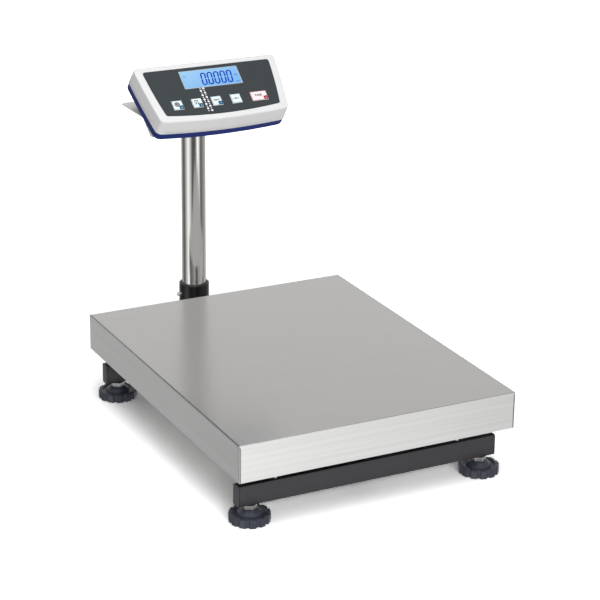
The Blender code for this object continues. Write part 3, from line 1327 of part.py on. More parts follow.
def build_terminal():
    frame = make_display_frame()
    white = make_material("white_abs", (0.85, 0.85, 0.85), 0.38)
    navy = make_material("navy_abs", (0.022, 0.035, 0.16), 0.4)
    slate = make_material("slate_panel", (0.075, 0.083, 0.09), 0.5)
    clear = make_material("clear_window", (0.85, 0.92, 0.95), 0.08)
    lcd_blue = make_material("lcd_blue", (0.35, 0.62, 0.95), 0.3)
    key_white = make_material("key_white", (0.80, 0.92, 0.93), 0.4)
    key_rose = make_material("key_rose", (0.92, 0.80, 0.82), 0.4)
    green = make_material("board_green", (0.02, 0.18, 0.07), 0.4)
    battery_blue = make_material("battery_blue", (0.05, 0.12, 0.35), 0.5)
    port_black = make_material("port_black", (0.02, 0.02, 0.02), 0.45)
    make_upper_housing(white, frame)
    make_lower_housing(navy, frame)
    make_front_panel(slate, frame)
    make_window(clear, frame)
    make_lcd(lcd_blue, frame)
    make_keys({"square": key_white, "wide": key_rose}, frame)
    make_board(green, frame)
    make_battery(battery_blue, frame)
    make_jack(port_black, frame)
    make_gland(port_black, frame)


clear_scene()
build_platform()
build_column()
build_terminal()
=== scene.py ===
"""Counting scale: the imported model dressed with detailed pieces, procedural finishes and a plain studio."""

import json
import math

import bmesh
import bpy
from mathutils import Matrix, Vector


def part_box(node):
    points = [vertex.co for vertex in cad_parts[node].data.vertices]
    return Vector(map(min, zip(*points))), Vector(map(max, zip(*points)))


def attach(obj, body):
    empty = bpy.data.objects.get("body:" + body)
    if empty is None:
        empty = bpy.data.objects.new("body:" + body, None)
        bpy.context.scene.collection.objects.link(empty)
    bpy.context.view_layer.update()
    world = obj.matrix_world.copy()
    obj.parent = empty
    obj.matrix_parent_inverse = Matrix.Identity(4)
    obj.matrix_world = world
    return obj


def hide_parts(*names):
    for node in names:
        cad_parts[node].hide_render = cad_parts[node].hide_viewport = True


bl_info = {
    "name": "Counting Scale",
    "version": (1, 0, 0),
    "blender": (4, 5, 0),
    "location": "View3D > Sidebar > Counting Scale",
    "description": "Dresses the counting scale's frame with pieces, finishes and a studio",
    "category": "Object",
}

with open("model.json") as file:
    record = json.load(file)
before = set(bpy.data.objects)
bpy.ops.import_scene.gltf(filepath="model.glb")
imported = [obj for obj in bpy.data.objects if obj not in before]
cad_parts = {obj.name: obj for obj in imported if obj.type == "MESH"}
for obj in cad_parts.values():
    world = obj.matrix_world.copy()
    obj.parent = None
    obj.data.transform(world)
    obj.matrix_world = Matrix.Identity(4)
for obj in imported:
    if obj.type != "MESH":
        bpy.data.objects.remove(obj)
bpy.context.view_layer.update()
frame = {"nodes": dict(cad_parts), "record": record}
NODES = frame["nodes"]
BEHAVIOUR = frame["record"]["behaviour"]
BODY_OF = {node: body for body, nodes in BEHAVIOUR["bodies"].items() for node in nodes}
SLOT_OF = {part["node"]: part["material_slot"] for part in frame["record"]["subparts"]}
SLOT_OF = {node: SLOT_OF.get(node, node) for node in NODES}
CORNERS = ("front_left", "front_right", "rear_left", "rear_right")
KEYS = ("key_1", "key_2", "key_3", "key_4", "key_tare")

TILT = math.radians(38.2)
UP_SLOPE = Vector((0, math.cos(TILT), math.sin(TILT)))
OUTWARD = Vector((0, -math.sin(TILT), math.cos(TILT)))
WINDOW_UP = 0.0179
WINDOW_MIDDLE_DEPTH = 0.00055


def middle(node):
    low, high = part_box(node)
    return (low + high) / 2


FACE_CENTRE = middle("lcd_window") - UP_SLOPE * WINDOW_UP + OUTWARD * WINDOW_MIDDLE_DEPTH
FACE = Matrix.Translation(FACE_CENTRE) @ Matrix.Rotation(TILT, 4, "X")


def linear(red, green, blue):
    """Colour from 0 to 255 per channel, as linear light."""
    def one(value):
        value /= 255
        return value / 12.92 if value <= 0.04045 else ((value + 0.055) / 1.055) ** 2.4
    return (one(red), one(green), one(blue))


# Shader maths


class Wire:
    """A socket with arithmetic: each operator adds its Math node."""

    def __init__(self, finish, socket):
        self.finish = finish
        self.socket = socket

    def math(self, operation, *others):
        return self.finish.node("ShaderNodeMath", {"operation": operation}, dict(enumerate((self, *others))))

    def __add__(self, other):
        return self.math("ADD", other)

    __radd__ = __add__

    def __mul__(self, other):
        return self.math("MULTIPLY", other)

    __rmul__ = __mul__

    def __sub__(self, other):
        return self.math("SUBTRACT", other)

    def __truediv__(self, other):
        return self.math("DIVIDE", other)

    def __lt__(self, other):
        return self.math("LESS_THAN", other)

    def clamp(self):
        return self.finish.node("ShaderNodeClamp", {}, {0: self})


class Finish:
    """One material's node tree."""

    def __init__(self, name, tree=None):
        if tree is None:
            self.material = bpy.data.materials.new(name)
            self.material.use_nodes = True
            tree = self.material.node_tree
        self.tree = tree
        tree.nodes.clear()

    def node(self, kind, settings, values, output=0):
        made = self.tree.nodes.new(kind)
        for setting, value in settings.items():
            if setting == "stops":
                self.set_stops(made.color_ramp, value)
            else:
                setattr(made, setting, value)
        for key, value in values.items():
            socket = made.inputs[key]
            if isinstance(value, Wire):
                self.tree.links.new(value.socket, socket)
            else:
                socket.default_value = value
        return Wire(self, made.outputs[output])

    @staticmethod
    def set_stops(ramp, stops):
        while len(ramp.elements) < len(stops):
            ramp.elements.new(0.5)
        for element, (place, colour) in zip(ramp.elements, stops):
            element.position = place
            element.color = (*colour, 1) if isinstance(colour, tuple) else (colour, colour, colour, 1)

    def place(self, scale=(1, 1, 1), turn=(0, 0, 0), shift=(0, 0, 0)):
        """Object coordinates, moved, turned and stretched."""
        coordinates = self.node("ShaderNodeTexCoord", {}, {}, "Object")
        values = {"Vector": coordinates, "Location": shift, "Rotation": turn, "Scale": scale}
        return self.node("ShaderNodeMapping", {"vector_type": "POINT"}, values)

    def noise(self, vector, scale, detail=3.0, roughness=0.5):
        values = {"Vector": vector, "Scale": scale, "Detail": detail, "Roughness": roughness}
        return self.node("ShaderNodeTexNoise", {}, values, "Fac")

    def ramp(self, value, *stops):
        return self.node("ShaderNodeValToRGB", {"stops": stops}, {"Fac": value}, "Color")

    def blend(self, share, first, second):
        first = first if isinstance(first, Wire) else (*first, 1)
        second = second if isinstance(second, Wire) else (*second, 1)
        return self.node("ShaderNodeMix", {"data_type": "RGBA"}, {0: share, 6: first, 7: second}, 2)

    def bump(self, height, distance, strength=1.0):
        return self.node("ShaderNodeBump", {}, {"Height": height, "Distance": distance, "Strength": strength})

    def surface(self, colour, roughness, **others):
        """Principled shader to the output; names of sockets come with underscores for spaces."""
        values = {"Base Color": colour if isinstance(colour, Wire) else (*colour, 1), "Roughness": roughness}
        values.update({name.replace("_", " "): value for name, value in others.items()})
        shader = self.node("ShaderNodeBsdfPrincipled", {}, values)
        self.node_out(shader)
        return self.material

    def node_out(self, shader):
        out = self.tree.nodes.new("ShaderNodeOutputMaterial")
        self.tree.links.new(shader.socket, out.inputs["Surface"])


def shades(colour, spread):
    """A darker and a lighter version of a colour."""
    return tuple(c * (1 - spread) for c in colour), tuple(min(c * (1 + spread), 1.0) for c in colour)


def brushed_steel(name, colour, scale, roughness, spread=0.07, depth=0.000012):
    """Steel with fine parallel brush lines, longest along the axis with the smallest scale."""
    finish = Finish(name)
    lines = finish.noise(finish.place(scale), 1.0, 4.0, 0.62)
    coarse = finish.noise(finish.place(tuple(s * 0.22 for s in scale)), 1.0, 2.0)
    clouds = finish.noise(finish.place(), 5.0, 2.0)
    dark, light = shades(colour, spread)
    shade = finish.blend((lines * 0.35 + coarse * 0.40 + clouds * 0.25).clamp(), dark, light)
    rough = roughness - 0.05 + lines * 0.06 + clouds * 0.05
    normal = finish.bump(lines, depth)
    return finish.surface(shade, rough, Metallic=1.0, Normal=normal)


def powder_coat(name, colour, roughness=0.5, grain=1400.0, depth=0.00006):
    finish = Finish(name)
    fine = finish.noise(finish.place(), grain, 2.0, 0.6)
    clouds = finish.noise(finish.place(), 24.0, 3.0)
    dark, light = shades(colour, 0.16)
    shade = finish.blend((fine * 0.5 + clouds * 0.5).clamp(), dark, light)
    return finish.surface(shade, roughness - 0.06 + clouds * 0.12, Normal=finish.bump(fine, depth, 0.7))


def moulded_plastic(name, colour, roughness=0.38, grain=2200.0, depth=0.00002, spread=0.02, **others):
    """Spark-eroded texture and very slight changes of colour and gloss."""
    finish = Finish(name)
    fine = finish.noise(finish.place(), grain, 2.0, 0.55)
    clouds = finish.noise(finish.place(), 14.0, 2.0)
    dark, light = shades(colour, spread)
    shade = finish.blend(clouds, dark, light)
    rough = roughness - 0.05 + clouds * 0.06 + fine * 0.05
    return finish.surface(shade, rough, Normal=finish.bump(fine, depth, 0.6), **others)


def plated_metal(name, colour, roughness=0.25):
    """Zinc plating with faint cloudy tarnish."""
    finish = Finish(name)
    clouds = finish.noise(finish.place(), 160.0, 3.0)
    fine = finish.noise(finish.place(), 1800.0, 2.0)
    dark, light = shades(colour, 0.10)
    shade = finish.blend(clouds, dark, light)
    rough = roughness - 0.04 + clouds * 0.12
    return finish.surface(shade, rough, Metallic=1.0, Normal=finish.bump(fine, 0.00001))


def threaded_metal(name, colour):
    """Plated metal with the turns of a thread as bump and shade."""
    finish = Finish(name)
    pattern = {"wave_type": "BANDS", "bands_direction": "Z", "wave_profile": "SIN"}
    turns = finish.node("ShaderNodeTexWave", pattern, {"Vector": finish.place(), "Scale": 210.0}, "Fac")
    dark, light = shades(colour, 0.35)
    shade = finish.blend(turns, dark, light)
    return finish.surface(shade, 0.3, Metallic=1.0, Normal=finish.bump(turns, 0.0004))


def circuit_board(name):
    """Green solder mask with pale tracks and pads."""
    finish = Finish(name)
    tracks = finish.node("ShaderNodeTexBrick", {"offset": 0.37, "squash": 1.6}, {
        "Vector": finish.place(turn=(-TILT, 0, 0)), "Scale": 60.0, "Mortar Size": 0.02,
        "Color1": (0.012, 0.13, 0.05, 1), "Color2": (0.016, 0.16, 0.06, 1), "Mortar": (0.05, 0.30, 0.12, 1),
    }, "Color")
    pads = finish.node("ShaderNodeTexVoronoi", {}, {"Vector": finish.place(), "Scale": 300.0}, "Distance")
    shade = finish.blend(pads < 0.18, tracks, (0.6, 0.58, 0.5))
    return finish.surface(shade, 0.32, Normal=finish.bump(pads, 0.00005))


def lcd_glow(name, low, high):
    """Pale blue back light, brighter towards the upper left."""
    finish = Finish(name)
    across = finish.node("ShaderNodeSeparateXYZ", {}, {"Vector": finish.place()}, "X")
    up = finish.node("ShaderNodeSeparateXYZ", {}, {"Vector": finish.place()}, "Z")
    low_corner, high_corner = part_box("lcd_window")
    share = (up - low_corner.z) / (high_corner.z - low_corner.z) * 0.55 - (across - low_corner.x) * 5.0 + 0.45
    grain = finish.noise(finish.place(), 900.0, 2.0)
    shade = finish.blend((share + grain * 0.08).clamp(), low, high)
    return finish.surface(shade, 0.35, Emission_Color=shade, Emission_Strength=0.15)


# Mesh building


def start_ring(bm, points, filled=True):
    """Ring of vertices from a circle, put on the given points in order."""
    verts = bmesh.ops.create_circle(bm, cap_ends=filled, segments=len(points), radius=1)["verts"]
    for vert, point in zip(verts, points):
        vert.co = point
    return verts


def ring_edges(bm, ring):
    return [bm.edges.get((ring[i - 1], ring[i])) for i in range(len(ring))]


def spot(co):
    return tuple(round(value, 7) for value in co)


def grow_ring(bm, ring, points):
    """Extrude a ring of edges and put the new vertices on the given points."""
    grown = bmesh.ops.extrude_edge_only(bm, edges=ring_edges(bm, ring))["geom"]
    fresh = {spot(vert.co): vert for vert in grown if isinstance(vert, bmesh.types.BMVert)}
    ring = [fresh[spot(vert.co)] for vert in ring]
    for vert, point in zip(ring, points):
        vert.co = point
    return ring


def close_ring(bm, ring):
    bmesh.ops.contextual_create(bm, geom=ring_edges(bm, ring))


def grow_form(rings):
    """Closed form through rings of points with like counts."""
    bm = bmesh.new()
    ring = start_ring(bm, rings[0])
    for points in rings[1:]:
        ring = grow_ring(bm, ring, points)
    close_ring(bm, ring)
    return bm


def lathe(profile, steps=64, closed=False):
    """Spin a profile of (radius, height) points about Z."""
    bm = bmesh.new()
    verts = [bm.verts.new((radius, 0, height)) for radius, height in profile]
    pairs = list(zip(verts, verts[1:]))
    if closed:
        pairs.append((verts[-1], verts[0]))
    edges = [bm.edges.new(pair) for pair in pairs]
    bmesh.ops.spin(bm, geom=verts + edges, cent=(0, 0, 0), axis=(0, 0, 1), angle=2 * math.pi, steps=steps,
                   use_merge=True)
    bmesh.ops.remove_doubles(bm, verts=bm.verts, dist=1e-6)
    return bm


def bevel(bm, edges, width, segments=3):
    bmesh.ops.bevel(bm, geom=edges, offset=width, offset_type="OFFSET", affect="EDGES", segments=segments,
                    profile=0.5, material=-1, clamp_overlap=True)


def block(size, centre=(0, 0, 0), width=0.0, segments=3):
    """Box with all its edges rounded."""
    bm = bmesh.new()
    bmesh.ops.create_cube(bm, size=1, matrix=Matrix.Translation(centre) @ Matrix.Diagonal((*size, 1)))
    if width:
        bevel(bm, bm.edges[:], width, segments)
    return bm


def sink_faces(bm, faces, shift):
    """Extrude faces, take the old ones away and move the new ones."""
    grown = bmesh.ops.extrude_face_region(bm, geom=faces)["geom"]
    bmesh.ops.delete(bm, geom=faces, context="FACES_ONLY")
    verts = [v for v in grown if isinstance(v, bmesh.types.BMVert)]
    bmesh.ops.translate(bm, vec=shift, verts=verts)


def arc(centre, radius, start, end, steps):
    angles = [start + (end - start) * i / steps for i in range(steps + 1)]
    return [(centre[0] + radius * math.cos(a), centre[1] + radius * math.sin(a)) for a in angles]


def finish_piece(bm, name, material, body, replaced=(), matrix=None, sharp=35, outward=True):
    """Put a form in place as a named piece that rides on a body."""
    if matrix is not None:
        bmesh.ops.transform(bm, matrix=matrix, verts=bm.verts)
    if outward:
        bmesh.ops.recalc_face_normals(bm, faces=bm.faces)
    mesh = bpy.data.meshes.new(name)
    bm.to_mesh(mesh)
    bm.free()
    mesh.shade_smooth()
    mesh.set_sharp_from_angle(angle=math.radians(sharp))
    for one in material if isinstance(material, tuple) else (material,):
        mesh.materials.append(one)
    piece = bpy.data.objects.new(name, mesh)
    bpy.context.scene.collection.objects.link(piece)
    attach(piece, body)
    if replaced:
        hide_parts(*replaced)
    return piece


def dress_node(node, material, width=0.0004, segments=2, sharp=32):
    """Copy of a CAD node with its doubles merged, its flat faces joined and its edges softened."""
    bm = bmesh.new()
    bm.from_mesh(NODES[node].data)
    bmesh.ops.remove_doubles(bm, verts=bm.verts, dist=1e-6)
    bmesh.ops.dissolve_limit(bm, angle_limit=math.radians(0.6), verts=bm.verts, edges=bm.edges)
    piece = finish_piece(bm, node + "_dressed", material, BODY_OF[node], (node,), sharp=sharp)
    if width:
        softened = piece.modifiers.new("Soft edges", "BEVEL")
        softened.width = width
        softened.segments = segments
        softened.limit_method = "ANGLE"
        softened.angle_limit = math.radians(sharp)
        softened.harden_normals = True
    return piece


def paint_node(node, material):
    """Better material on a CAD node that keeps its shape."""
    data = NODES[node].data
    if not data.materials:
        data.materials.append(material)
    for index in range(len(data.materials)):
        data.materials[index] = material


# Sizes and colours that a user would change


class ScaleSizes(bpy.types.PropertyGroup):
    pan_fold: bpy.props.FloatProperty(
        name="Pan fold radius", description="Radius of the fold round the pan's top", default=0.0028,
        unit="LENGTH")
    pan_seam: bpy.props.FloatProperty(
        name="Pan seam width", description="Gap between the pan's flanges at each corner", default=0.0009,
        unit="LENGTH")
    pan_seam_inset: bpy.props.FloatProperty(
        name="Pan seam inset", description="Distance of the seam from the pan's corner", default=0.0016,
        unit="LENGTH")
    soft_edge: bpy.props.FloatProperty(
        name="Edge softness", description="Width of the small bevels on metal pieces", default=0.0004,
        unit="LENGTH")
    knob_lobes: bpy.props.IntProperty(
        name="Knob lobes", description="Lobes round the rim of each foot", default=12, min=3)
    print_height: bpy.props.FloatProperty(
        name="Print thickness", description="Thickness of the printed marks", default=0.00006, unit="LENGTH")
    digit_height: bpy.props.FloatProperty(
        name="Digit height", description="Height of the figures on the display", default=0.0196, unit="LENGTH")
    digit_lean: bpy.props.FloatProperty(
        name="Digit lean", description="Slant of the figures", default=math.radians(6), subtype="ANGLE")


class ScaleColours(bpy.types.PropertyGroup):
    steel: bpy.props.FloatVectorProperty(
        name="Steel", description="Brushed steel of the pan", default=(0.66, 0.65, 0.635), subtype="COLOR")
    beam: bpy.props.FloatVectorProperty(
        name="Powder coat", description="Coat of the base and the carrier", default=linear(54, 52, 57),
        subtype="COLOR")
    casing: bpy.props.FloatVectorProperty(
        name="Casing", description="Upper shell of the terminal", default=linear(232, 232, 233),
        subtype="COLOR")
    shell: bpy.props.FloatVectorProperty(
        name="Lower shell", description="Lower shell of the terminal", default=linear(26, 46, 118),
        subtype="COLOR")
    panel: bpy.props.FloatVectorProperty(
        name="Panel", description="Front panel of the terminal", default=linear(61, 66, 69), subtype="COLOR")
    digits: bpy.props.FloatVectorProperty(
        name="Digits", description="Figures on the display", default=linear(4, 62, 186), subtype="COLOR")
    teal: bpy.props.FloatVectorProperty(
        name="Key corner", description="Coloured corner of the square keys", default=linear(0, 92, 128),
        subtype="COLOR")
    red: bpy.props.FloatVectorProperty(
        name="Wide key corner", description="Coloured corner of the wide key", default=linear(176, 8, 40),
        subtype="COLOR")


def sizes():
    return bpy.context.scene.counting_scale_sizes


def colour(name):
    return tuple(getattr(bpy.context.scene.counting_scale_colours, name))


FINISHES = {}


def finish(name):
    """Each finish is made once, when a piece first asks for it."""
    if name not in FINISHES:
        FINISHES[name] = MAKERS[name](name)
    return FINISHES[name]


def steel_painted_light_and_shade(share):
    """The pan's steel made darker or lighter: painted light and shade, so that faces turned other ways read
    lighter or darker.
    """
    return tuple(c * share for c in colour("steel"))


def ink(name, shade, roughness=0.55, sheen=0.15):
    """Print with little gloss, so that the lamps don't pale it."""
    return moulded_plastic(name, shade, roughness, spread=0.05, Specular_IOR_Level=sheen)


# Density of the brush lines along X, Y and Z
TOP_LINES = (14.0, 1500.0, 1500.0)
FRONT_LINES = (10.0, 1500.0, 1100.0)
SIDE_LINES = (1500.0, 10.0, 1100.0)
CELL_LINES = (1600.0, 30.0, 1600.0)
TUBE_LINES = (2200.0, 2200.0, 12.0)
SEAM_GRAIN = (300.0, 300.0, 300.0)

MAKERS = {
    "steel_top": lambda name: brushed_steel(
        name, colour("steel"), TOP_LINES, roughness=0.20, spread=0.09, depth=0.00004),
    # The skirts take lighter copies of the pan's steel: painted light, brighter than the top steel.
    "steel_front": lambda name: brushed_steel(
        name, steel_painted_light_and_shade(1.30), FRONT_LINES, roughness=0.30, spread=0.28, depth=0.00002),
    "steel_side": lambda name: brushed_steel(
        name, steel_painted_light_and_shade(1.35), SIDE_LINES, roughness=0.30, spread=0.28, depth=0.00002),
    # The side folds take a darker copy of the steel: painted shade as a dark line along the fold.
    "steel_fold": lambda name: brushed_steel(name, steel_painted_light_and_shade(0.30), SIDE_LINES, roughness=0.34),
    # The seam grooves take a dark grey: painted shade in the grooves.
    "steel_seam": lambda name: brushed_steel(name, linear(40, 40, 40), SEAM_GRAIN, roughness=0.6),
    "column_steel": lambda name: brushed_steel(
        name, (0.70, 0.69, 0.67), TUBE_LINES, roughness=0.13, spread=0.05, depth=0.000005),
    "aluminium": lambda name: brushed_steel(name, (0.74, 0.75, 0.76), CELL_LINES, roughness=0.36),
    "zinc": lambda name: plated_metal(name, (0.93, 0.935, 0.94), roughness=0.36),
    "zinc_thread": lambda name: threaded_metal(name, (0.80, 0.81, 0.82)),
    "beam_coat": lambda name: powder_coat(name, colour("beam"), 0.42),
    # Near-black coat for the upper faces of the beams and carrier: painted shade from the pan above them.
    "beam_top_coat": lambda name: powder_coat(name, linear(6, 6, 7), 0.7),
    "bracket_coat": lambda name: powder_coat(name, linear(24, 24, 26), 0.42),
    "socket_coat": lambda name: powder_coat(name, linear(4, 4, 5), 0.30, grain=1800.0, depth=0.00002),
    "holder_sheet": lambda name: powder_coat(name, linear(226, 226, 222), 0.4, grain=1800.0, depth=0.00002),
    "rubber": lambda name: powder_coat(name, linear(26, 26, 27), 0.8, grain=900.0, depth=0.00008),
    "cap_plastic": lambda name: moulded_plastic(
        name, linear(66, 65, 69), 0.42, grain=1500.0, depth=0.00004, spread=0.06),
    "knob_plastic": lambda name: moulded_plastic(
        name, linear(62, 66, 77), 0.36, grain=1500.0, depth=0.00004, spread=0.10),
    # White in place of plated metal, so that the stops show as bright spots in the shaded gap: a painted
    # highlight.
    "stop_plastic": lambda name: moulded_plastic(name, linear(246, 246, 246), 0.4, spread=0.03),
    "casing_plastic": lambda name: moulded_plastic(name, colour("casing"), 0.36),
    "shell_plastic": lambda name: moulded_plastic(
        name, colour("shell"), 0.5, spread=0.06, Specular_IOR_Level=0.15),
    "panel_film": lambda name: moulded_plastic(
        name, colour("panel"), 0.55, grain=3200.0, spread=0.03, Specular_IOR_Level=0.15),
    "plug_plastic": lambda name: moulded_plastic(name, linear(22, 22, 23), 0.45, spread=0.08),
    "port_plastic": lambda name: moulded_plastic(name, linear(20, 20, 21), 0.4, spread=0.08),
    "key_plastic": lambda name: moulded_plastic(name, linear(236, 246, 249), 0.4, spread=0.015),
    "wide_key_plastic": lambda name: moulded_plastic(name, linear(250, 238, 241), 0.4, spread=0.015),
    "white_print": lambda name: moulded_plastic(name, linear(246, 246, 246), 0.45),
    "teal_print": lambda name: ink(name, colour("teal")),
    "red_print": lambda name: ink(name, colour("red")),
    "grey_print": lambda name: ink(name, linear(52, 58, 64), 0.6, sheen=0.10),
    "rose_print": lambda name: ink(name, linear(72, 48, 54), 0.6, sheen=0.10),
    "digit_print": lambda name: ink(name, colour("digits"), 0.6, sheen=0.05),
    "lcd_edge": lambda name: moulded_plastic(name, linear(176, 190, 205), 0.3, spread=0.05),
    "lcd_glow": lambda name: lcd_glow(name, linear(102, 162, 220), linear(142, 188, 224)),
    "level_liquid": lambda name: moulded_plastic(name, linear(196, 214, 80), 0.12, spread=0.2),
    "battery_film": lambda name: moulded_plastic(name, linear(34, 66, 140), 0.3, spread=0.1),
    "board": circuit_board,
}


# Pan

PAN_SHEET = 0.0015
PAN_CORNER_RADIUS = 0.0009
PAN_SEAM_DEPTH = 0.0011
PAN_SHADING_MARGIN = 0.0004
TINY = 1e-5
# Finishes by face: the steel as it is on the top, lighter copies as painted light on the skirts, a darker copy
# as painted shade on the side folds and dark grey as painted shade in the seams.
PAN_FINISHES = ("steel_top", "steel_front", "steel_side", "steel_seam", "steel_fold")
TOP, FRONT_PAINTED_LIGHT, SIDE_PAINTED_LIGHT, SEAM_PAINTED_SHADE, FOLD_PAINTED_SHADE = range(len(PAN_FINISHES))


def pan_form():
    """Folded pan: rounded rim, open below, with a seam groove beside each corner of the end flanges."""
    low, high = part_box("weighing_pan")
    size = high - low
    fold = sizes().pan_fold
    bm = block(size, (low + high) / 2)
    bevel(bm, [e for e in bm.edges if not is_level(e)], PAN_CORNER_RADIUS, 2)
    bevel(bm, [e for e in bm.edges if all(v.co.z > high.z - TINY for v in e.verts)], fold, 5)
    bm.normal_update()
    broad = [f for f in bm.faces if f.calc_area() > 0.01]
    bmesh.ops.inset_individual(bm, faces=broad, thickness=PAN_SHADING_MARGIN, use_even_offset=True)
    inset = sizes().pan_seam_inset
    seam = sizes().pan_seam
    cuts = [((side * (size.x / 2 - step), 0, 0), (1, 0, 0))
            for side in (-1, 1) for step in (inset, inset + seam)]
    cuts.append(((0, 0, high.z - fold * 1.05), (0, 0, 1)))
    for place, normal in cuts:
        whole = bm.verts[:] + bm.edges[:] + bm.faces[:]
        bmesh.ops.bisect_plane(bm, geom=whole, plane_co=place, plane_no=normal, dist=TINY)
    bm.normal_update()
    near, far = size.x / 2 - inset - seam, size.x / 2 - inset
    for end in (-1, 1):
        strips = [f for f in bm.faces if is_seam_strip(f, end, near, far, high.z)]
        # The seam strips take the dark seam finish: painted shade in the groove.
        for face in strips:
            face.material_index = SEAM_PAINTED_SHADE
        sink_faces(bm, strips, (0, -end * PAN_SEAM_DEPTH, 0))
    bmesh.ops.dissolve_faces(bm, faces=faces_below(bm, low.z + TINY))
    bmesh.ops.inset_region(bm, faces=faces_below(bm, low.z + TINY), thickness=PAN_SHEET, use_even_offset=True)
    under = max(faces_below(bm, low.z + TINY), key=lambda f: f.calc_area())
    sink_faces(bm, [under], (0, 0, size.z - PAN_SHEET))
    return bm


def faces_below(bm, level):
    return [f for f in bm.faces if all(v.co.z < level for v in f.verts)]


def is_seam_strip(face, end, near, far, top):
    centre = face.calc_center_median()
    return face.normal.y * end > 0.9 and near < abs(centre.x) < far and centre.z < top - 0.004


def pan_finish_index(face):
    """The pan's finish for a face, by which way the face looks: painted light on the skirts, painted shade on
    the side folds and in the seams.
    """
    if face.material_index == SEAM_PAINTED_SHADE:
        return SEAM_PAINTED_SHADE
    if abs(face.normal.x) > 0.4 and face.normal.z > 0.25:
        return FOLD_PAINTED_SHADE
    if abs(face.normal.z) >= 0.7:
        return TOP
    return SIDE_PAINTED_LIGHT if abs(face.normal.x) > 0.7 else FRONT_PAINTED_LIGHT


def build_pan():
    bm = pan_form()
    for face in bm.faces:
        face.material_index = pan_finish_index(face)
    materials = tuple(finish(name) for name in PAN_FINISHES)
    finish_piece(bm, "pan_sheet", materials, "pan", ("weighing_pan",), sharp=40)


# Base and carrier

BEAMS = ("front_beam", "rear_beam", "centre_beam", "carrier_front_arm", "carrier_rear_arm", "carrier_spine")


def build_base():
    soft = sizes().soft_edge
    for node in BEAMS:
        beam = dress_node(node, (finish("beam_coat"), finish("beam_top_coat")), soft)
        # Upward faces take the near-black coat: painted shade where the pan shades them.
        for face in beam.data.polygons:
            face.material_index = 1 if face.normal.z > 0.9 else 0
    dress_node("load_cell", finish("aluminium"), soft)
    for corner in CORNERS:
        dress_node("beam_end_cap_" + corner, finish("cap_plastic"), soft)
        # The overload stops are painted white: a painted highlight in the shaded gap under the pan.
        dress_node("overload_stop_" + corner, finish("stop_plastic"), soft)
        dress_node("pan_bumper_" + corner, finish("rubber"), soft)
    for node in ("upper_spacer", "lower_spacer"):
        dress_node(node, finish("zinc"), soft)


# Feet

KNOB_RADIUS = 0.0274
KNOB_TOP = 0.012
NOTCH_RADIUS = 0.0028
NOTCH_CENTRE = 0.0272
LOBE_SWELL = 0.0006
LOBE_SOFT = 0.0006


def knob_angles():
    """Angle and place within the lobe's pitch of each point round the rim, close together in the notches."""
    pitch = 2 * math.pi / sizes().knob_lobes
    notch = math.asin(NOTCH_RADIUS / NOTCH_CENTRE)
    half = [share * notch for share in (0.0, 0.45, 0.8, 0.995, 1.02, 1.3)] + [0.27 * pitch, 0.38 * pitch]
    local = [-angle for angle in reversed(half[1:])] + half + [0.5 * pitch]
    return [(lobe * pitch + angle, angle) for lobe in range(sizes().knob_lobes) for angle in local]


def knob_outline(inset, z):
    """Scalloped outline: nearly flat lobes with a round notch between each two."""
    pitch = 2 * math.pi / sizes().knob_lobes
    notch = math.asin(NOTCH_RADIUS / NOTCH_CENTRE)
    points = []
    for angle, local in knob_angles():
        flat = KNOB_RADIUS * math.cos(pitch / 2) / math.cos(pitch / 2 - abs(local)) + LOBE_SWELL
        reach = min(flat, KNOB_RADIUS)
        if abs(local) < notch:
            side = NOTCH_RADIUS ** 2 - (NOTCH_CENTRE * math.sin(local)) ** 2
            reach = NOTCH_CENTRE * math.cos(local) - math.sqrt(side)
        elif abs(local) < 1.1 * notch:
            reach -= LOBE_SOFT
        points.append(((reach - inset) * math.cos(angle), (reach - inset) * math.sin(angle), z))
    return points


def knob_form():
    top = KNOB_TOP
    rim = ((0.0013, 0.0), (0.0004, 0.0004), (0.0, 0.0013), (0.0, top - 0.0013), (0.0004, top - 0.0004),
           (0.0013, top))
    rings = [knob_outline(inset, z) for inset, z in rim]
    angles = [angle for angle, _ in knob_angles()]
    turned = (
        (0.0222, top), (0.0215, top - 0.0006), (0.0206, top - 0.0022), (0.0200, top - 0.0025),
        (0.0170, top - 0.0025), (0.0165, top - 0.0022), (0.0160, top + 0.0006), (0.0156, top + 0.0012),
        (0.0104, top + 0.0050), (0.0098, top + 0.0055), (0.0053, top + 0.0055), (0.0053, 0.004),
    )
    rings += [[(r * math.cos(a), r * math.sin(a), z) for a in angles] for r, z in turned]
    return grow_form(rings)


def is_level(edge):
    return abs(edge.verts[0].co.z - edge.verts[1].co.z) < 1e-6


def build_feet():
    for corner in CORNERS:
        low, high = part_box("foot_knob_" + corner)
        place = Matrix.Translation(((low.x + high.x) / 2, (low.y + high.y) / 2, low.z))
        finish_piece(knob_form(), "knob_" + corner, finish("knob_plastic"), BODY_OF["foot_knob_" + corner],
                     ("foot_knob_" + corner,), place, sharp=28)
        dress_node("foot_lock_nut_" + corner, finish("zinc"), 0.0005, 3)
        dress_node("foot_stud_" + corner, finish("zinc_thread"), 0.0003)


# Column


def ring_centre(node, z):
    centre = middle(node)
    return Matrix.Translation((centre.x, centre.y, z))


def column_form():
    low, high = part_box("column_tube")
    radius = (high.x - low.x) / 2
    inner = radius - 0.0015
    tall = high.z - low.z
    soft = 0.0004
    profile = [(inner, 0), (radius - soft, 0), (radius, soft), (radius, tall - soft), (radius - soft, tall),
               (inner, tall)]
    return lathe(profile, 96, closed=True)


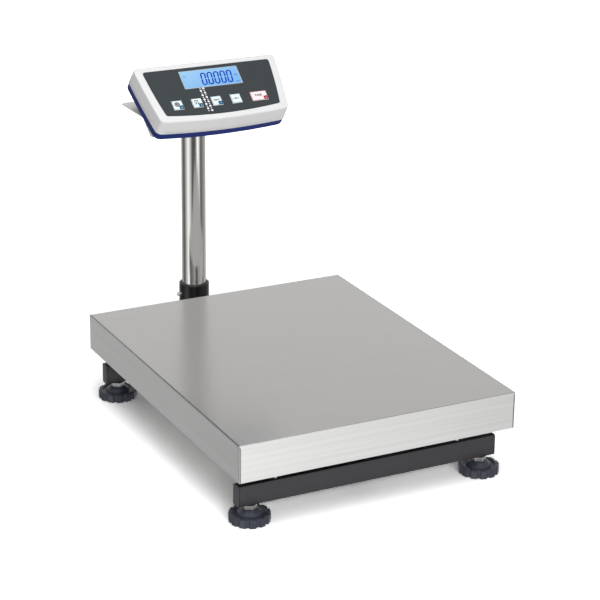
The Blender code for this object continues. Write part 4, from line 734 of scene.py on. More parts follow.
def socket_form():
    """Flanged sleeve with a rounded rim."""
    low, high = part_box("column_socket")
    flange = (high.x - low.x) / 2
    tall = high.z - low.z
    inner, outer = 0.0183, 0.0223
    thick = 0.005
    profile = [(inner, 0), (flange, 0)]
    profile += arc((flange - 0.001, thick - 0.001), 0.001, 0, math.pi / 2, 4)
    profile += arc((outer + 0.002, thick + 0.002), 0.002, -math.pi / 2, -math.pi, 5)
    profile += arc((outer - 0.0012, tall - 0.0012), 0.0012, 0, math.pi / 2, 5)
    profile += [(inner + 0.0004, tall), (inner, tall - 0.0004)]
    return lathe(profile, 96, closed=True)


def build_column():
    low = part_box("column_tube")[0]
    finish_piece(column_form(), "column_sleeve", finish("column_steel"), "column",
                 ("column_tube",), ring_centre("column_tube", low.z))
    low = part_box("column_socket")[0]
    finish_piece(socket_form(), "socket_sleeve", finish("socket_coat"), "base",
                 ("column_socket",), ring_centre("column_socket", low.z))
    dress_node("clamp_screw", finish("zinc"), 0.0003)
    dress_node("column_bracket", finish("bracket_coat"), 0.0006, 3)
    dress_node("column_plug", finish("plug_plastic"), 0.0004)
    dress_node("display_holder", finish("holder_sheet"), 0.0004)
    dress_node("level_body", finish("plug_plastic"), 0.0003)
    dress_node("level_vial", finish("level_liquid"), 0.0003)
    for side in ("left", "right"):
        dress_node("bracket_bolt_" + side, finish("zinc"), 0.0003)
        dress_node("holder_screw_" + side, finish("zinc"), 0.0003)


# Terminal

FACE_TOP_WIDTH = 0.2206
FACE_BOTTOM_WIDTH = 0.1972
FACE_TOP = 0.0480
FACE_BOTTOM = 0.0495
FACE_EDGE_RADIUS = 0.0022
SHELL_DEPTH = 0.0265
SHELL_FLARE = 0.0012
SHELL_LIP = 0.0004
BACK_DEPTH = 0.0413
PANEL_TOP_WIDTH = 0.1964
PANEL_BOTTOM_WIDTH = 0.1750
PANEL_TOP = 0.0389
PANEL_BOTTOM = 0.0392
# How far the top, left, bottom and right edges bow outwards
CASING_BOWS = (0.0004, 0.0012, 0.0048, 0.0012)
PANEL_BOWS = (0.0, 0.0012, 0.0058, 0.0012)
CASING_RADII = (0.006, 0.006, 0.009, 0.009)
LEAST_RADIUS = 0.001
PANEL_RADIUS = 0.0035


def bowed_ring(corners, bows, radii, z, per_edge=16, per_corner=8):
    """Ring through rounded corners with edges bowed outwards; corners run anticlockwise."""
    count = len(corners)
    corners = [Vector(corner) for corner in corners]

    def tangent(i, at_end):
        run = corners[(i + 1) % count] - corners[i % count]
        normal = Vector((run.y, -run.x)).normalized()
        lean = 4 * bows[i % count] / run.length
        return (run.normalized() + normal * (-lean if at_end else lean)).normalized()

    arcs, setbacks = [], []
    for i in range(count):
        arriving, leaving = tangent(i - 1, True), tangent(i, False)
        turn = arriving.angle(leaving)
        setback = radii[i] * math.tan(turn / 2)
        start = corners[i] - arriving * setback
        centre = start + Vector((-arriving.y, arriving.x)) * radii[i]
        first = math.atan2(start.y - centre.y, start.x - centre.x)
        arcs.append(arc(centre, radii[i], first, first + turn, per_corner))
        setbacks.append(setback)
    points = []
    for i in range(count):
        points += arcs[i]
        run = corners[(i + 1) % count] - corners[i]
        normal = Vector((run.y, -run.x)).normalized()
        low = setbacks[i] / run.length
        high = 1 - setbacks[(i + 1) % count] / run.length
        for k in range(1, per_edge):
            t = low + (high - low) * k / per_edge
            place = corners[i] + run * t + normal * (4 * bows[i] * t * (1 - t))
            points.append((place.x, place.y))
    return [(x, y, z) for x, y in points]


def wedge_ring(widths, top, bottom, offset, bows, radii, z):
    """Bowed ring, wider above than below, with all its sides moved out by the offset."""
    half_top, half_bottom = (width / 2 + offset for width in widths)
    high, low = top + offset, -bottom - offset
    corners = ((half_top, high), (-half_top, high), (-half_bottom, low), (half_bottom, low))
    return bowed_ring(corners, bows, radii, z)


def casing_ring(offset, z):
    radii = [max(radius + offset, LEAST_RADIUS) for radius in CASING_RADII]
    widths = (FACE_TOP_WIDTH, FACE_BOTTOM_WIDTH)
    return wedge_ring(widths, FACE_TOP, FACE_BOTTOM, offset, CASING_BOWS, radii, z)


def panel_ring(offset, z):
    widths, radii = (PANEL_TOP_WIDTH, PANEL_BOTTOM_WIDTH), (PANEL_RADIUS + offset,) * 4
    return wedge_ring(widths, PANEL_TOP, PANEL_BOTTOM, offset, PANEL_BOWS, radii, z)


def upper_shell_form():
    """White shell with a soft rim round the face, flared sides and a recess for the panel."""
    seam, edge = SHELL_DEPTH, FACE_EDGE_RADIUS
    rings = [casing_ring(-0.0013, -seam), casing_ring(SHELL_FLARE - SHELL_LIP, -seam)]
    rings.append(casing_ring(SHELL_FLARE, -seam + SHELL_LIP))
    for share in (0.33, 0.66, 0.97):
        rings.append(casing_ring(SHELL_FLARE * (1 - share), -seam + (seam - edge) * share))
    for i in range(7):
        angle = math.pi / 2 * i / 6
        rings.append(casing_ring(-edge * (1 - math.cos(angle)), -edge * (1 - math.sin(angle))))
    rings += [casing_ring(-edge - 0.0005, 0.0), panel_ring(0.0012, 0.0), panel_ring(0.0007, 0.0)]
    rings += [panel_ring(0.0004, -0.0002), panel_ring(0.0003, -0.0006), panel_ring(0.0003, -0.0016)]
    return grow_form(rings)


def build_casing():
    finish_piece(upper_shell_form(), "upper_casing", finish("casing_plastic"), "column",
                 ("housing_upper",), FACE, sharp=50)
    dress_node("housing_lower", finish("shell_plastic"), 0.0003)
    dress_node("front_panel", finish("panel_film"), 0.0)
    dress_node("power_jack", finish("port_plastic"), 0.0003)
    dress_node("cable_gland", finish("port_plastic"), 0.0003)


def flat_plate(width, height, z, thick, centre=(0, 0), radius=0.0006):
    """Thin plate with rounded corners on the display's face."""
    bm = bmesh.new()
    half_width, half_height = width / 2, height / 2
    corners = ((half_width, half_height), (-half_width, half_height), (-half_width, -half_height),
               (half_width, -half_height))
    ring = start_ring(bm, [(x + centre[0], y + centre[1], z) for x, y in corners])
    bmesh.ops.bevel(bm, geom=ring, offset=radius, offset_type="OFFSET", affect="VERTICES", segments=4,
                    profile=0.5, material=-1)
    grown = bmesh.ops.extrude_face_region(bm, geom=bm.faces[:])["geom"]
    bmesh.ops.translate(bm, vec=(0, 0, thick), verts=[v for v in grown if isinstance(v, bmesh.types.BMVert)])
    return bm


def join_forms(forms):
    """One bmesh from several."""
    whole = bmesh.new()
    for form in forms:
        scratch = bpy.data.meshes.new("scratch")
        form.to_mesh(scratch)
        form.free()
        whole.from_mesh(scratch)
        bpy.data.meshes.remove(scratch)
    return whole


def bar(points, z, thick):
    """Thin flat shape from its corner points."""
    bm = bmesh.new()
    face = bm.faces.new([bm.verts.new((x, y, z)) for x, y in points])
    grown = bmesh.ops.extrude_face_region(bm, geom=[face])["geom"]
    bmesh.ops.translate(bm, vec=(0, 0, thick), verts=[v for v in grown if isinstance(v, bmesh.types.BMVert)])
    return bm


def face_piece(form, name, finish_name, body, replaced=()):
    """Piece that is laid out on the terminal's face, upright and from its middle."""
    return finish_piece(form, name, finish(finish_name), body, replaced, FACE)


DISPLAY_WIDTH = 0.0903
DISPLAY_HEIGHT = 0.0312
DISPLAY_BORDER = 0.0022
RIM_LEVEL = -0.0009
RIM_THICKNESS = 0.0007
LIGHT_LEVEL = -0.0002
DIGITS = 5
DIGIT_WIDTH = 0.0061
DIGIT_PITCH = 0.0100
DIGIT_STROKE = 0.36
DIGIT_GAP = 0.05
FIRST_DIGIT = -0.0112
DIGIT_DROP = 0.0012
POINT_SIDE = 0.0013
POINT_SHIFT = 0.0006
# Small marks beside the figures: width, height, place across, place above the window's middle, corner radius
DISPLAY_MARKS = (
    (0.0040, 0.0009, 0.0385, -0.0115, 0.0002),
    (0.0030, 0.0004, -0.0385, 0.0072, 0.0001),
    (0.0030, 0.0004, -0.0385, 0.0046, 0.0001),
    (0.0004, 0.0030, -0.0402, 0.0059, 0.0001),
)
WORD_WEIGHT = 0.035


def digit_forms(x, y, height, z, thick):
    """Figure zero of six slanted segments with pointed ends."""
    stroke = DIGIT_WIDTH * DIGIT_STROKE
    gap = stroke * DIGIT_GAP
    s = stroke / 2
    half = height / 2
    lean = math.tan(sizes().digit_lean)

    def slant(points):
        return [(x + u + v * lean, y + v) for u, v in points]

    def upright(u, low, high):
        return slant([(u, low + gap), (u + s, low + gap + s), (u + s, high - gap - s), (u, high - gap),
                      (u - s, high - gap - s), (u - s, low + gap + s)])

    def level(v):
        left, right = -DIGIT_WIDTH / 2 + gap, DIGIT_WIDTH / 2 - gap
        return slant([(left, v), (left + s, v - s), (right - s, v - s), (right, v), (right - s, v + s),
                      (left + s, v + s)])

    shapes = [upright(side * DIGIT_WIDTH / 2, low, high)
              for side in (-1, 1) for low, high in ((-half, 0), (0, half))]
    shapes += [level(-half), level(half)]
    return [bar(points, z, thick) for points in shapes]


def build_display():
    """Rim of the window, the lit display in it and its figures."""
    thick = sizes().print_height
    centre = (0, WINDOW_UP)
    rim = flat_plate(DISPLAY_WIDTH, DISPLAY_HEIGHT, RIM_LEVEL, RIM_THICKNESS, centre)
    face_piece(rim, "display_rim", "lcd_edge", "column", ("lcd_window",))
    light = flat_plate(DISPLAY_WIDTH - DISPLAY_BORDER, DISPLAY_HEIGHT - DISPLAY_BORDER, LIGHT_LEVEL, thick,
                       centre, 0.0003)
    face_piece(light, "display_light", "lcd_glow", "column")
    z = LIGHT_LEVEL + thick
    tall = sizes().digit_height
    forms = []
    for i in range(DIGITS):
        forms += digit_forms(FIRST_DIGIT + i * DIGIT_PITCH, WINDOW_UP - DIGIT_DROP, tall, z, thick)
    point = (FIRST_DIGIT + DIGIT_PITCH / 2 - POINT_SHIFT, WINDOW_UP - DIGIT_DROP - tall / 2)
    forms.append(flat_plate(POINT_SIDE, POINT_SIDE, z, thick, point, 0.0003))
    for width, height, x, up, radius in DISPLAY_MARKS:
        forms.append(flat_plate(width, height, z, thick, (x, WINDOW_UP + up), radius))
    face_piece(join_forms(forms), "display_figures", "digit_print", "column")
    build_words("display_unit", "kg", 0.0034, (0.0388, WINDOW_UP + 0.0005), z, "digit_print", "column")


def build_words(name, words, height, centre, z, finish_name, body):
    """Raised print of a few generic letters or signs on the terminal's face."""
    curve = bpy.data.curves.new(name, "FONT")
    curve.body = words
    curve.size = height
    curve.align_x = "CENTER"
    curve.align_y = "CENTER"
    curve.extrude = sizes().print_height / 2
    curve.offset = height * WORD_WEIGHT
    curve.resolution_u = 3
    words_object = bpy.data.objects.new(name, curve)
    bpy.context.scene.collection.objects.link(words_object)
    bpy.context.view_layer.update()
    mesh = bpy.data.meshes.new_from_object(words_object)
    bpy.data.objects.remove(words_object)
    bm = bmesh.new()
    bm.from_mesh(mesh)
    bpy.data.meshes.remove(mesh)
    bmesh.ops.remove_doubles(bm, verts=bm.verts, dist=1e-7)
    place = FACE @ Matrix.Translation((centre[0], centre[1], z + sizes().print_height / 2))
    return finish_piece(bm, name, finish(finish_name), body, (), place)


# Keys

KEY_UP = -0.0235
KEY_TOP = 0.0005
KEY_FOOT = -0.0009
KEY_HEIGHT = 0.0157
KEY_RADIUS = 0.0008
KEY_RIM = 0.0008
FRAME_LINE = 0.00035
FRAME_RADII = (0.0007, 0.0005)
PRINT_SINK = 0.00002
PATCH_SIDE = 0.0062
PATCH_MARGIN = 0.0004
PATCH_RADIUS = 0.0007
PATCH_MIDDLE = 0.0032
ARROW_SIZE = 0.0011
# Keys with a coloured corner, and where the arrow in it points
ARROW_TURNS = {"key_1": 2, "key_2": 3, "key_3": 0, "key_tare": 1}
SYMBOL_UP = KEY_UP + 0.0012
RING_POINTS = 28


def key_span(key):
    """Middle and width of a key across the panel."""
    low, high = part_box(key)
    return (low.x + high.x) / 2, high.x - low.x


def key_ring(width, height, radius, z, centre):
    half_width, half_height = width / 2, height / 2
    corners = ((half_width, half_height), (-half_width, half_height), (-half_width, -half_height),
               (half_width, -half_height))
    ring = bowed_ring(corners, (0.0,) * 4, (radius,) * 4, z, per_edge=3, per_corner=4)
    return [(x + centre, y + KEY_UP, z) for x, y, z in ring]


def key_form(width, centre):
    """Cap with a soft rim and a very shallow dish."""
    levels = ((0.0, KEY_RADIUS, KEY_FOOT), (0.0, KEY_RADIUS, KEY_TOP - 0.0004),
              (0.0003, KEY_RADIUS, KEY_TOP - 0.0001), (KEY_RIM, 0.0007, KEY_TOP),
              (0.0030, 0.0006, KEY_TOP - 0.00005))
    return grow_form([key_ring(width - less, KEY_HEIGHT - less, radius, z, centre)
                      for less, radius, z in levels])


def closed_band(rings):
    """Band without ends: rings of points in turn, the last one joined to the first."""
    bm = bmesh.new()
    first = ring = start_ring(bm, rings[0], filled=False)
    for points in rings[1:]:
        ring = grow_ring(bm, ring, points)
    bmesh.ops.bridge_loops(bm, edges=ring_edges(bm, ring) + ring_edges(bm, first))
    return bm


def key_frame(width, centre, z, thick):
    """Thin printed line round a key's face."""
    outer, inner = KEY_RIM, KEY_RIM + 2 * FRAME_LINE
    wide, tight = FRAME_RADII
    steps = ((outer, wide, z), (outer, wide, z + thick), (inner, tight, z + thick), (inner, tight, z))
    return closed_band([key_ring(width - less, KEY_HEIGHT - less, radius, level, centre)
                        for less, radius, level in steps])


def corner_patch(width, centre, z, thick):
    """Coloured square in a key's lower right corner."""
    across = centre + width / 2 - PATCH_SIDE / 2 - PATCH_MARGIN
    up = KEY_UP - KEY_HEIGHT / 2 + PATCH_SIDE / 2 + PATCH_MARGIN
    return flat_plate(PATCH_SIDE, PATCH_SIDE, z, thick, (across, up), PATCH_RADIUS)


def arrow_form(centre, up, z, thick, pointing):
    """Small triangle: pointing 0 right, 1 up, 2 left, 3 down."""
    angles = [math.pi / 2 * pointing + 2 * math.pi * i / 3 for i in range(3)]
    return bar([(centre + ARROW_SIZE * math.cos(a), up + ARROW_SIZE * math.sin(a)) for a in angles], z, thick)


def ring_mark(centre, up, radius, stroke, z, thick, squash=1.0, turn=0.0):
    """Flat ring, round or oval."""
    inner, outer = radius - stroke / 2, radius + stroke / 2
    angles = [2 * math.pi * i / RING_POINTS for i in range(RING_POINTS)]

    def circle(size, height):
        points = []
        for a in angles:
            u, v = size * math.cos(a) * squash, size * math.sin(a)
            points.append((centre + u * math.cos(turn) - v * math.sin(turn),
                           up + u * math.sin(turn) + v * math.cos(turn), height))
        return points

    return closed_band([circle(outer, z), circle(outer, z + thick), circle(inner, z + thick), circle(inner, z)])


def dial_symbol(z, thick):
    """Ring round four small rings."""
    x = key_span("key_1")[0] - 0.0008
    marks = [ring_mark(x, SYMBOL_UP, 0.0034, 0.0010, z, thick)]
    marks += [ring_mark(x + 0.0017 * math.cos(a), SYMBOL_UP + 0.0017 * math.sin(a), 0.0008, 0.0008, z, thick)
              for a in (0.4, 1.97, 3.54, 5.11)]
    return join_forms(marks)


def oval_symbol(z, thick):
    """Leaning oval with a stroke through it."""
    x, up = key_span("key_2")[0] - 0.0010, SYMBOL_UP
    stroke = [(x - 0.0034, up - 0.0040), (x - 0.0028, up - 0.0044), (x + 0.0034, up + 0.0040),
              (x + 0.0028, up + 0.0044)]
    return join_forms([ring_mark(x, up, 0.0036, 0.0011, z, thick, 0.62, 0.6), bar(stroke, z + thick, thick)])


def zero_arrows(z, thick):
    """An arrow from each side towards the zero."""
    x = key_span("key_4")[0]
    marks = [arrow_form(x - 0.0026, KEY_UP, z, thick, 0), arrow_form(x + 0.0026, KEY_UP, z, thick, 2)]
    marks += [flat_plate(0.0020, 0.0005, z, thick, (x + side * 0.0044, KEY_UP), 0.0001) for side in (-1, 1)]
    return join_forms(marks)


def key_print(form, key, suffix, finish_name):
    """Print that moves with its key."""
    face_piece(form, key + suffix, finish_name, key)


def key_word(key, suffix, word, height, shift, up, z, finish_name):
    build_words(key + suffix, word, height, (key_span(key)[0] + shift, up), z, finish_name, key)


def build_keys():
    thick = sizes().print_height
    z = KEY_TOP - PRINT_SINK
    for key in KEYS:
        centre, width = key_span(key)
        wide = key == "key_tare"
        cap, edge = ("wide_key_plastic", "red_print") if wide else ("key_plastic", "teal_print")
        face_piece(key_form(width, centre), key + "_cap", cap, key, (key,))
        key_print(key_frame(width, centre, z, thick), key, "_frame", edge)
        if key in ARROW_TURNS:
            key_print(corner_patch(width, centre, z, thick), key, "_corner", edge)
            across, up = centre + width / 2 - PATCH_MIDDLE, KEY_UP - KEY_HEIGHT / 2 + PATCH_MIDDLE
            key_print(arrow_form(across, up, z + thick, thick, ARROW_TURNS[key]), key, "_arrow", "white_print")
    key_print(dial_symbol(z, thick), "key_1", "_symbol", "grey_print")
    key_print(oval_symbol(z, thick), "key_2", "_symbol", "grey_print")
    key_word("key_3", "_word", "PRINT", 0.0034, 0.0, SYMBOL_UP, z, "grey_print")
    key_word("key_4", "_zero", "0", 0.0046, 0.0, KEY_UP, z, "grey_print")
    key_print(zero_arrows(z, thick), "key_4", "_arrows", "grey_print")
    key_word("key_tare", "_word", "TARE", 0.0046, -0.0014, KEY_UP + 0.0010, z, "rose_print")


# Printed dots

MARKS_TOP = 0.0005
MARKS_STEP = 0.0039
MARKS_LEFT = -0.0230
MARKS_RIGHT = -0.0180
MARKS_ROWS = 11
MARKS_LEVEL = -0.00012
LARGE_DOT = 0.0017
SMALL_DOT = 0.0009


def build_panel_marks():
    """Braid of printed dots between the display and the panel's lower edge, large and small in turn."""
    thick = sizes().print_height
    forms = []
    for row in range(MARKS_ROWS):
        y = MARKS_TOP - row * MARKS_STEP
        left, right = (MARKS_LEFT, MARKS_RIGHT) if row % 2 else (MARKS_RIGHT, MARKS_LEFT)
        forms.append(dot_form(left, y, LARGE_DOT, MARKS_LEVEL, thick))
        forms.append(dot_form(right, y, SMALL_DOT, MARKS_LEVEL, thick))
    face_piece(join_forms(forms), "panel_dots", "white_print", "column")


def dot_form(x, y, radius, z, thick):
    bm = bmesh.new()
    bmesh.ops.create_cone(bm, cap_ends=True, segments=12, radius1=radius, radius2=radius, depth=thick,
                          matrix=Matrix.Translation((x, y, z + thick / 2)))
    return bm


# Screw heads that the frame leaves to the scene

# Radius, height and recess of each head
SOCKET_SCREW = (0.0030, 0.0022, 0.0014)
CELL_SCREW = (0.0068, 0.0036, 0.0034)
CASE_SCREW = (0.0027, 0.0020, 0.0013)
HOLDER_SCREW = (0.0030, 0.0020, 0.0014)
SCREW_SOFT = 0.0008
SOCKET_SCREW_CIRCLE = 0.0258
SOCKET_SCREW_SEAT = 0.0053
CELL_SCREW_INSET = 0.020
CELL_SCREW_STEPS = (-0.011, 0.011)
CELL_SCREW_LIFT = 0.0003
CASE_SCREW_PLACES = ((-0.094, 0.036), (0.094, 0.036), (-0.082, -0.038), (0.082, -0.038))
CASE_SCREW_SEAT = 0.0046
HOLDER_SCREW_PLACES = ((-0.060, -0.0247), (0.060, -0.0247))
HOLDER_SEAT = 0.0026


def screw_form(radius, height, recess):
    """Pan head with a round recess, its seat at zero and its head above."""
    profile = [(0, height - SCREW_SOFT), (recess * 0.6, height - SCREW_SOFT), (recess, height - SCREW_SOFT),
               (recess, height)]
    profile += arc((radius - SCREW_SOFT, height - SCREW_SOFT), SCREW_SOFT, math.pi / 2, 0, 4)
    profile += [(radius, 0), (0, 0)]
    return lathe(profile, 24)


def add_screws(name, head, body, places):
    """Numbered screw heads, one at each place."""
    for i, place in enumerate(places):
        full_name = name + "_screw_" + str(i + 1)
        finish_piece(screw_form(*head), full_name, finish("zinc"), body, (), place)


def build_fasteners():
    over = Matrix.Rotation(math.pi, 4, "X")
    centre = middle("column_socket")
    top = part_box("column_socket")[0].z + SOCKET_SCREW_SEAT
    places = []
    for i in range(4):
        angle = math.radians(45 + 90 * i)
        places.append(Matrix.Translation((centre.x + SOCKET_SCREW_CIRCLE * math.cos(angle),
                                          centre.y + SOCKET_SCREW_CIRCLE * math.sin(angle), top)))
    add_screws("socket", SOCKET_SCREW, "base", places)
    cell_low, cell_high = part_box("load_cell")
    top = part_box("carrier_spine")[1].z + CELL_SCREW_LIFT
    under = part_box("centre_beam")[0].z - CELL_SCREW_LIFT
    front, rear = cell_low.y + CELL_SCREW_INSET, cell_high.y - CELL_SCREW_INSET
    add_screws("carrier", CELL_SCREW, "base",
               [Matrix.Translation((0, front + step, top)) for step in CELL_SCREW_STEPS])
    add_screws("cell", CELL_SCREW, "base",
               [Matrix.Translation((0, rear + step, under)) @ over for step in CELL_SCREW_STEPS])
    add_screws("case", CASE_SCREW, "column",
               [FACE @ Matrix.Translation((x, y, -BACK_DEPTH + CASE_SCREW_SEAT)) @ over
                for x, y in CASE_SCREW_PLACES])
    add_screws("mount", HOLDER_SCREW, "column",
               [FACE @ Matrix.Translation((x, y, -BACK_DEPTH - HOLDER_SEAT)) @ over
                for x, y in HOLDER_SCREW_PLACES])


def build_inside():
    paint_node("main_board", finish("board"))
    paint_node("battery_pack", finish("battery_film"))
    paint_node("lcd_module", finish("lcd_edge"))


# Studio

CAMERA_PLACE = Vector((-1.2101, -2.4478, 1.2026))
CAMERA_AZIMUTH = math.radians(-27.02)
CAMERA_RISE = math.radians(20.56)
CAMERA_ROLL = math.radians(0.70)
FOCAL_PIXELS = 2113.0
IMAGE_PIXELS = 600
SENSOR_WIDTH = 36
FLOOR_HALF_WIDTH = 7
FLOOR_NEAR = (1.9, 1.9, 1.9)
FLOOR_FAR = (9.0, 9.0, 9.0)
FLOOR_SPREAD = (0.3, 0.3, 0.3)
DIFFUSE_LIGHT = 0.34
UPPER_MIRRORED = 0.95
LOWER_MIRRORED = 1.6
BANDS_TURN = math.radians(114)
# Light and dark parts of the surroundings below eye level, as mirror rays meet them on the way round
BANDS = ((0, 0.30), (0.12, 0.36), (0.19, 0.09), (0.24, 0.10), (0.30, 0.40), (0.36, 0.86), (0.41, 0.54),
         (0.455, 0.18), (0.475, 0.06), (0.545, 0.06), (0.575, 0.32), (0.612, 0.98), (0.638, 0.75),
         (0.685, 0.14), (0.71, 0.10), (0.80, 0.24), (0.92, 0.46), (1, 0.30))


def ray_kind(tree, kind):
    """1 for rays of one kind, else 0."""
    return tree.node("ShaderNodeLightPath", {}, {}, kind)


def floor_finish():
    """White floor for the camera, clear to mirror and glass rays, plain for the light that it gives back."""
    floor = Finish("studio_floor")
    spread = floor.node("ShaderNodeTexGradient", {"gradient_type": "SPHERICAL"},
                        {"Vector": floor.place(FLOOR_SPREAD)}, "Fac")
    grain = floor.noise(floor.place(), 3.0, 2.0)
    near = floor.ramp((spread + grain * 0.02).clamp(), (0.0, 0.0), (0.8, 1.0))
    seen = floor.node("ShaderNodeBsdfDiffuse", {}, {"Color": floor.blend(near, FLOOR_FAR, FLOOR_NEAR)})
    clear = floor.node("ShaderNodeBsdfTransparent", {}, {})
    white = floor.node("ShaderNodeMixShader", {}, {0: ray_kind(floor, "Is Camera Ray"), 1: clear, 2: seen})
    plain = floor.node("ShaderNodeBsdfDiffuse", {}, {"Color": (1.0, 1.0, 1.0, 1)})
    kinds = ("Is Camera Ray", "Is Glossy Ray", "Is Transmission Ray")
    direct, mirrored, passing = (ray_kind(floor, kind) for kind in kinds)
    background = (direct + mirrored + passing).clamp()
    floor.node_out(floor.node("ShaderNodeMixShader", {}, {0: background, 1: plain, 2: white}))
    return floor.material


def build_world():
    """Soft light from the sides, white for the camera, and light and dark parts for mirror rays."""
    world = bpy.data.worlds.new("studio")
    world.use_nodes = True
    bpy.context.scene.world = world
    sky = Finish("studio", world.node_tree)
    direction = sky.node("ShaderNodeTexCoord", {}, {}, "Generated")
    up = sky.node("ShaderNodeSeparateXYZ", {}, {0: direction}, "Z")
    turned = sky.node("ShaderNodeVectorRotate", {"rotation_type": "Z_AXIS"},
                      {"Vector": direction, "Angle": BANDS_TURN})
    around = sky.node("ShaderNodeTexGradient", {"gradient_type": "RADIAL"}, {"Vector": turned}, "Fac")
    light_share = sky.ramp(up, (0.0, 0.35), (0.15, 0.60), (0.40, 0.75), (0.70, 0.40), (1.0, 0.35))
    upper_share = sky.ramp(up, (0.0, 0.92), (0.30, 0.80), (0.55, 0.50), (1.0, 0.45))
    lower = sky.ramp(up, (0.0, 1.0), (0.08, 0.0))
    light = sky.node("ShaderNodeBackground", {}, {0: light_share, 1: DIFFUSE_LIGHT})
    above = sky.node("ShaderNodeBackground", {}, {0: upper_share, 1: UPPER_MIRRORED})
    below = sky.node("ShaderNodeBackground", {}, {0: sky.ramp(around, *BANDS), 1: LOWER_MIRRORED})
    mirrored = sky.node("ShaderNodeMixShader", {}, {0: lower, 1: above, 2: below})
    white = sky.node("ShaderNodeBackground", {}, {0: (1, 1, 1, 1), 1: 1.0})
    unseen = sky.node("ShaderNodeMixShader", {}, {0: ray_kind(sky, "Is Glossy Ray"), 1: light, 2: mirrored})
    mixed = sky.node("ShaderNodeMixShader", {}, {0: ray_kind(sky, "Is Camera Ray"), 1: unseen, 2: white})
    out = sky.tree.nodes.new("ShaderNodeOutputWorld")
    sky.tree.links.new(mixed.socket, out.inputs["Surface"])


def add_lamp(name, place, target, size, power):
    lamp = bpy.data.lights.new(name, "AREA")
    lamp.shape = "RECTANGLE"
    lamp.size, lamp.size_y = size
    lamp.energy = power
    holder = bpy.data.objects.new(name, lamp)
    holder.location = place
    holder.rotation_mode = "QUATERNION"
    holder.rotation_quaternion = (Vector(target) - Vector(place)).to_track_quat("-Z", "Y")
    bpy.context.scene.collection.objects.link(holder)
    return holder


def add_camera():
    """Camera at the photograph's viewing angle."""
    level = math.cos(CAMERA_RISE)
    back = Vector((math.sin(CAMERA_AZIMUTH) * level, -math.cos(CAMERA_AZIMUTH) * level, math.sin(CAMERA_RISE)))
    right = (-back).cross(Vector((0, 0, 1))).normalized()
    up = right.cross(-back)
    turned = right * math.cos(CAMERA_ROLL) + up * math.sin(CAMERA_ROLL)
    raised = up * math.cos(CAMERA_ROLL) - right * math.sin(CAMERA_ROLL)
    data = bpy.data.cameras.new("photo_camera")
    data.lens = FOCAL_PIXELS / IMAGE_PIXELS * SENSOR_WIDTH
    data.sensor_width = SENSOR_WIDTH
    data.clip_end = 100
    camera = bpy.data.objects.new("photo_camera", data)
    columns = (turned, raised, back, CAMERA_PLACE)
    camera.matrix_world = Matrix([[column[axis] for column in columns] for axis in range(3)] + [[0, 0, 0, 1]])
    bpy.context.scene.collection.objects.link(camera)
    bpy.context.scene.camera = camera


def add_floor():
    bm = bmesh.new()
    bmesh.ops.create_grid(bm, x_segments=4, y_segments=4, size=FLOOR_HALF_WIDTH)
    mesh = bpy.data.meshes.new("studio_floor")
    bm.to_mesh(mesh)
    bm.free()
    mesh.materials.append(floor_finish())
    floor = bpy.data.objects.new("studio_floor", mesh)
    bpy.context.scene.collection.objects.link(floor)


def build_stage():
    add_camera()
    build_world()
    add_floor()
    add_lamp("key_lamp", place=(-0.30, -0.50, 2.5), target=(0, 0, 0.1), size=(2.2, 2.2), power=40)
    fill = add_lamp("fill_lamp", place=(-0.5, -2.6, 1.2), target=(0, 0, 0.30), size=(2.0, 0.8), power=34)
    fill.visible_glossy = False
    bpy.context.scene.view_settings.view_transform = "Standard"


# Operators, panel and run


class COUNTING_SCALE_OT_stage(bpy.types.Operator):
    """Camera, surroundings, floor and lamps"""
    bl_idname = "counting_scale.stage"
    bl_label = "Build Studio"

    def execute(self, context):
        build_stage()
        return {"FINISHED"}


class COUNTING_SCALE_OT_pan(bpy.types.Operator):
    """Folded steel pan with its corner seams"""
    bl_idname = "counting_scale.pan"
    bl_label = "Build Pan"

    def execute(self, context):
        build_pan()
        return {"FINISHED"}


class COUNTING_SCALE_OT_base(bpy.types.Operator):
    """Beams, caps, load cell, carrier, stops and bumpers"""
    bl_idname = "counting_scale.base"
    bl_label = "Build Base"

    def execute(self, context):
        build_base()
        return {"FINISHED"}


class COUNTING_SCALE_OT_feet(bpy.types.Operator):
    """Scalloped knobs, lock nuts and studs"""
    bl_idname = "counting_scale.feet"
    bl_label = "Build Feet"

    def execute(self, context):
        build_feet()
        return {"FINISHED"}


class COUNTING_SCALE_OT_column(bpy.types.Operator):
    """Column, socket, bracket, level and display holder"""
    bl_idname = "counting_scale.column"
    bl_label = "Build Column"

    def execute(self, context):
        build_column()
        return {"FINISHED"}


class COUNTING_SCALE_OT_casing(bpy.types.Operator):
    """Shells, panel, gland and jack of the terminal"""
    bl_idname = "counting_scale.casing"
    bl_label = "Build Casing"

    def execute(self, context):
        build_casing()
        return {"FINISHED"}


class COUNTING_SCALE_OT_display(bpy.types.Operator):
    """Lit display with its figures"""
    bl_idname = "counting_scale.display"
    bl_label = "Build Display"

    def execute(self, context):
        build_display()
        return {"FINISHED"}


class COUNTING_SCALE_OT_marks(bpy.types.Operator):
    """Printed dots on the panel"""
    bl_idname = "counting_scale.marks"
    bl_label = "Build Panel Marks"

    def execute(self, context):
        build_panel_marks()
        return {"FINISHED"}


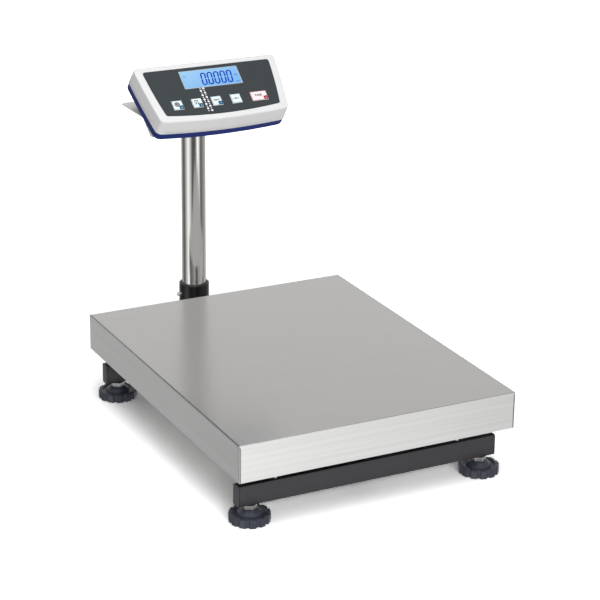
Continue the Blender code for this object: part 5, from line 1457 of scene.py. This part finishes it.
class COUNTING_SCALE_OT_keys(bpy.types.Operator):
    """Key caps with their symbols"""
    bl_idname = "counting_scale.keys"
    bl_label = "Build Keys"

    def execute(self, context):
        build_keys()
        return {"FINISHED"}


class COUNTING_SCALE_OT_fasteners(bpy.types.Operator):
    """Screw heads of the socket, the cell and the casing"""
    bl_idname = "counting_scale.fasteners"
    bl_label = "Build Fasteners"

    def execute(self, context):
        build_fasteners()
        return {"FINISHED"}


class COUNTING_SCALE_OT_inside(bpy.types.Operator):
    """Board, battery and display module"""
    bl_idname = "counting_scale.inside"
    bl_label = "Finish Inside"

    def execute(self, context):
        build_inside()
        return {"FINISHED"}


class COUNTING_SCALE_PT_panel(bpy.types.Panel):
    """Lists the operators that dress the scale"""
    bl_label = "Counting Scale"
    bl_space_type = "VIEW_3D"
    bl_region_type = "UI"
    bl_category = "Counting Scale"

    def draw(self, context):
        for operator in OPERATORS:
            self.layout.operator(operator.bl_idname)


OPERATORS = (
    COUNTING_SCALE_OT_stage,
    COUNTING_SCALE_OT_pan,
    COUNTING_SCALE_OT_base,
    COUNTING_SCALE_OT_feet,
    COUNTING_SCALE_OT_column,
    COUNTING_SCALE_OT_casing,
    COUNTING_SCALE_OT_display,
    COUNTING_SCALE_OT_marks,
    COUNTING_SCALE_OT_keys,
    COUNTING_SCALE_OT_fasteners,
    COUNTING_SCALE_OT_inside,
)
CLASSES = (ScaleSizes, ScaleColours, *OPERATORS, COUNTING_SCALE_PT_panel)


def register():
    for one in CLASSES:
        bpy.utils.register_class(one)
    bpy.types.Scene.counting_scale_sizes = bpy.props.PointerProperty(type=ScaleSizes)
    bpy.types.Scene.counting_scale_colours = bpy.props.PointerProperty(type=ScaleColours)


def unregister():
    del bpy.types.Scene.counting_scale_colours
    del bpy.types.Scene.counting_scale_sizes
    for one in reversed(CLASSES):
        bpy.utils.unregister_class(one)


def main():
    register()
    for operator in OPERATORS:
        getattr(bpy.ops.counting_scale, operator.bl_idname.split(".")[1])()


if __name__ == "__main__":
    main()
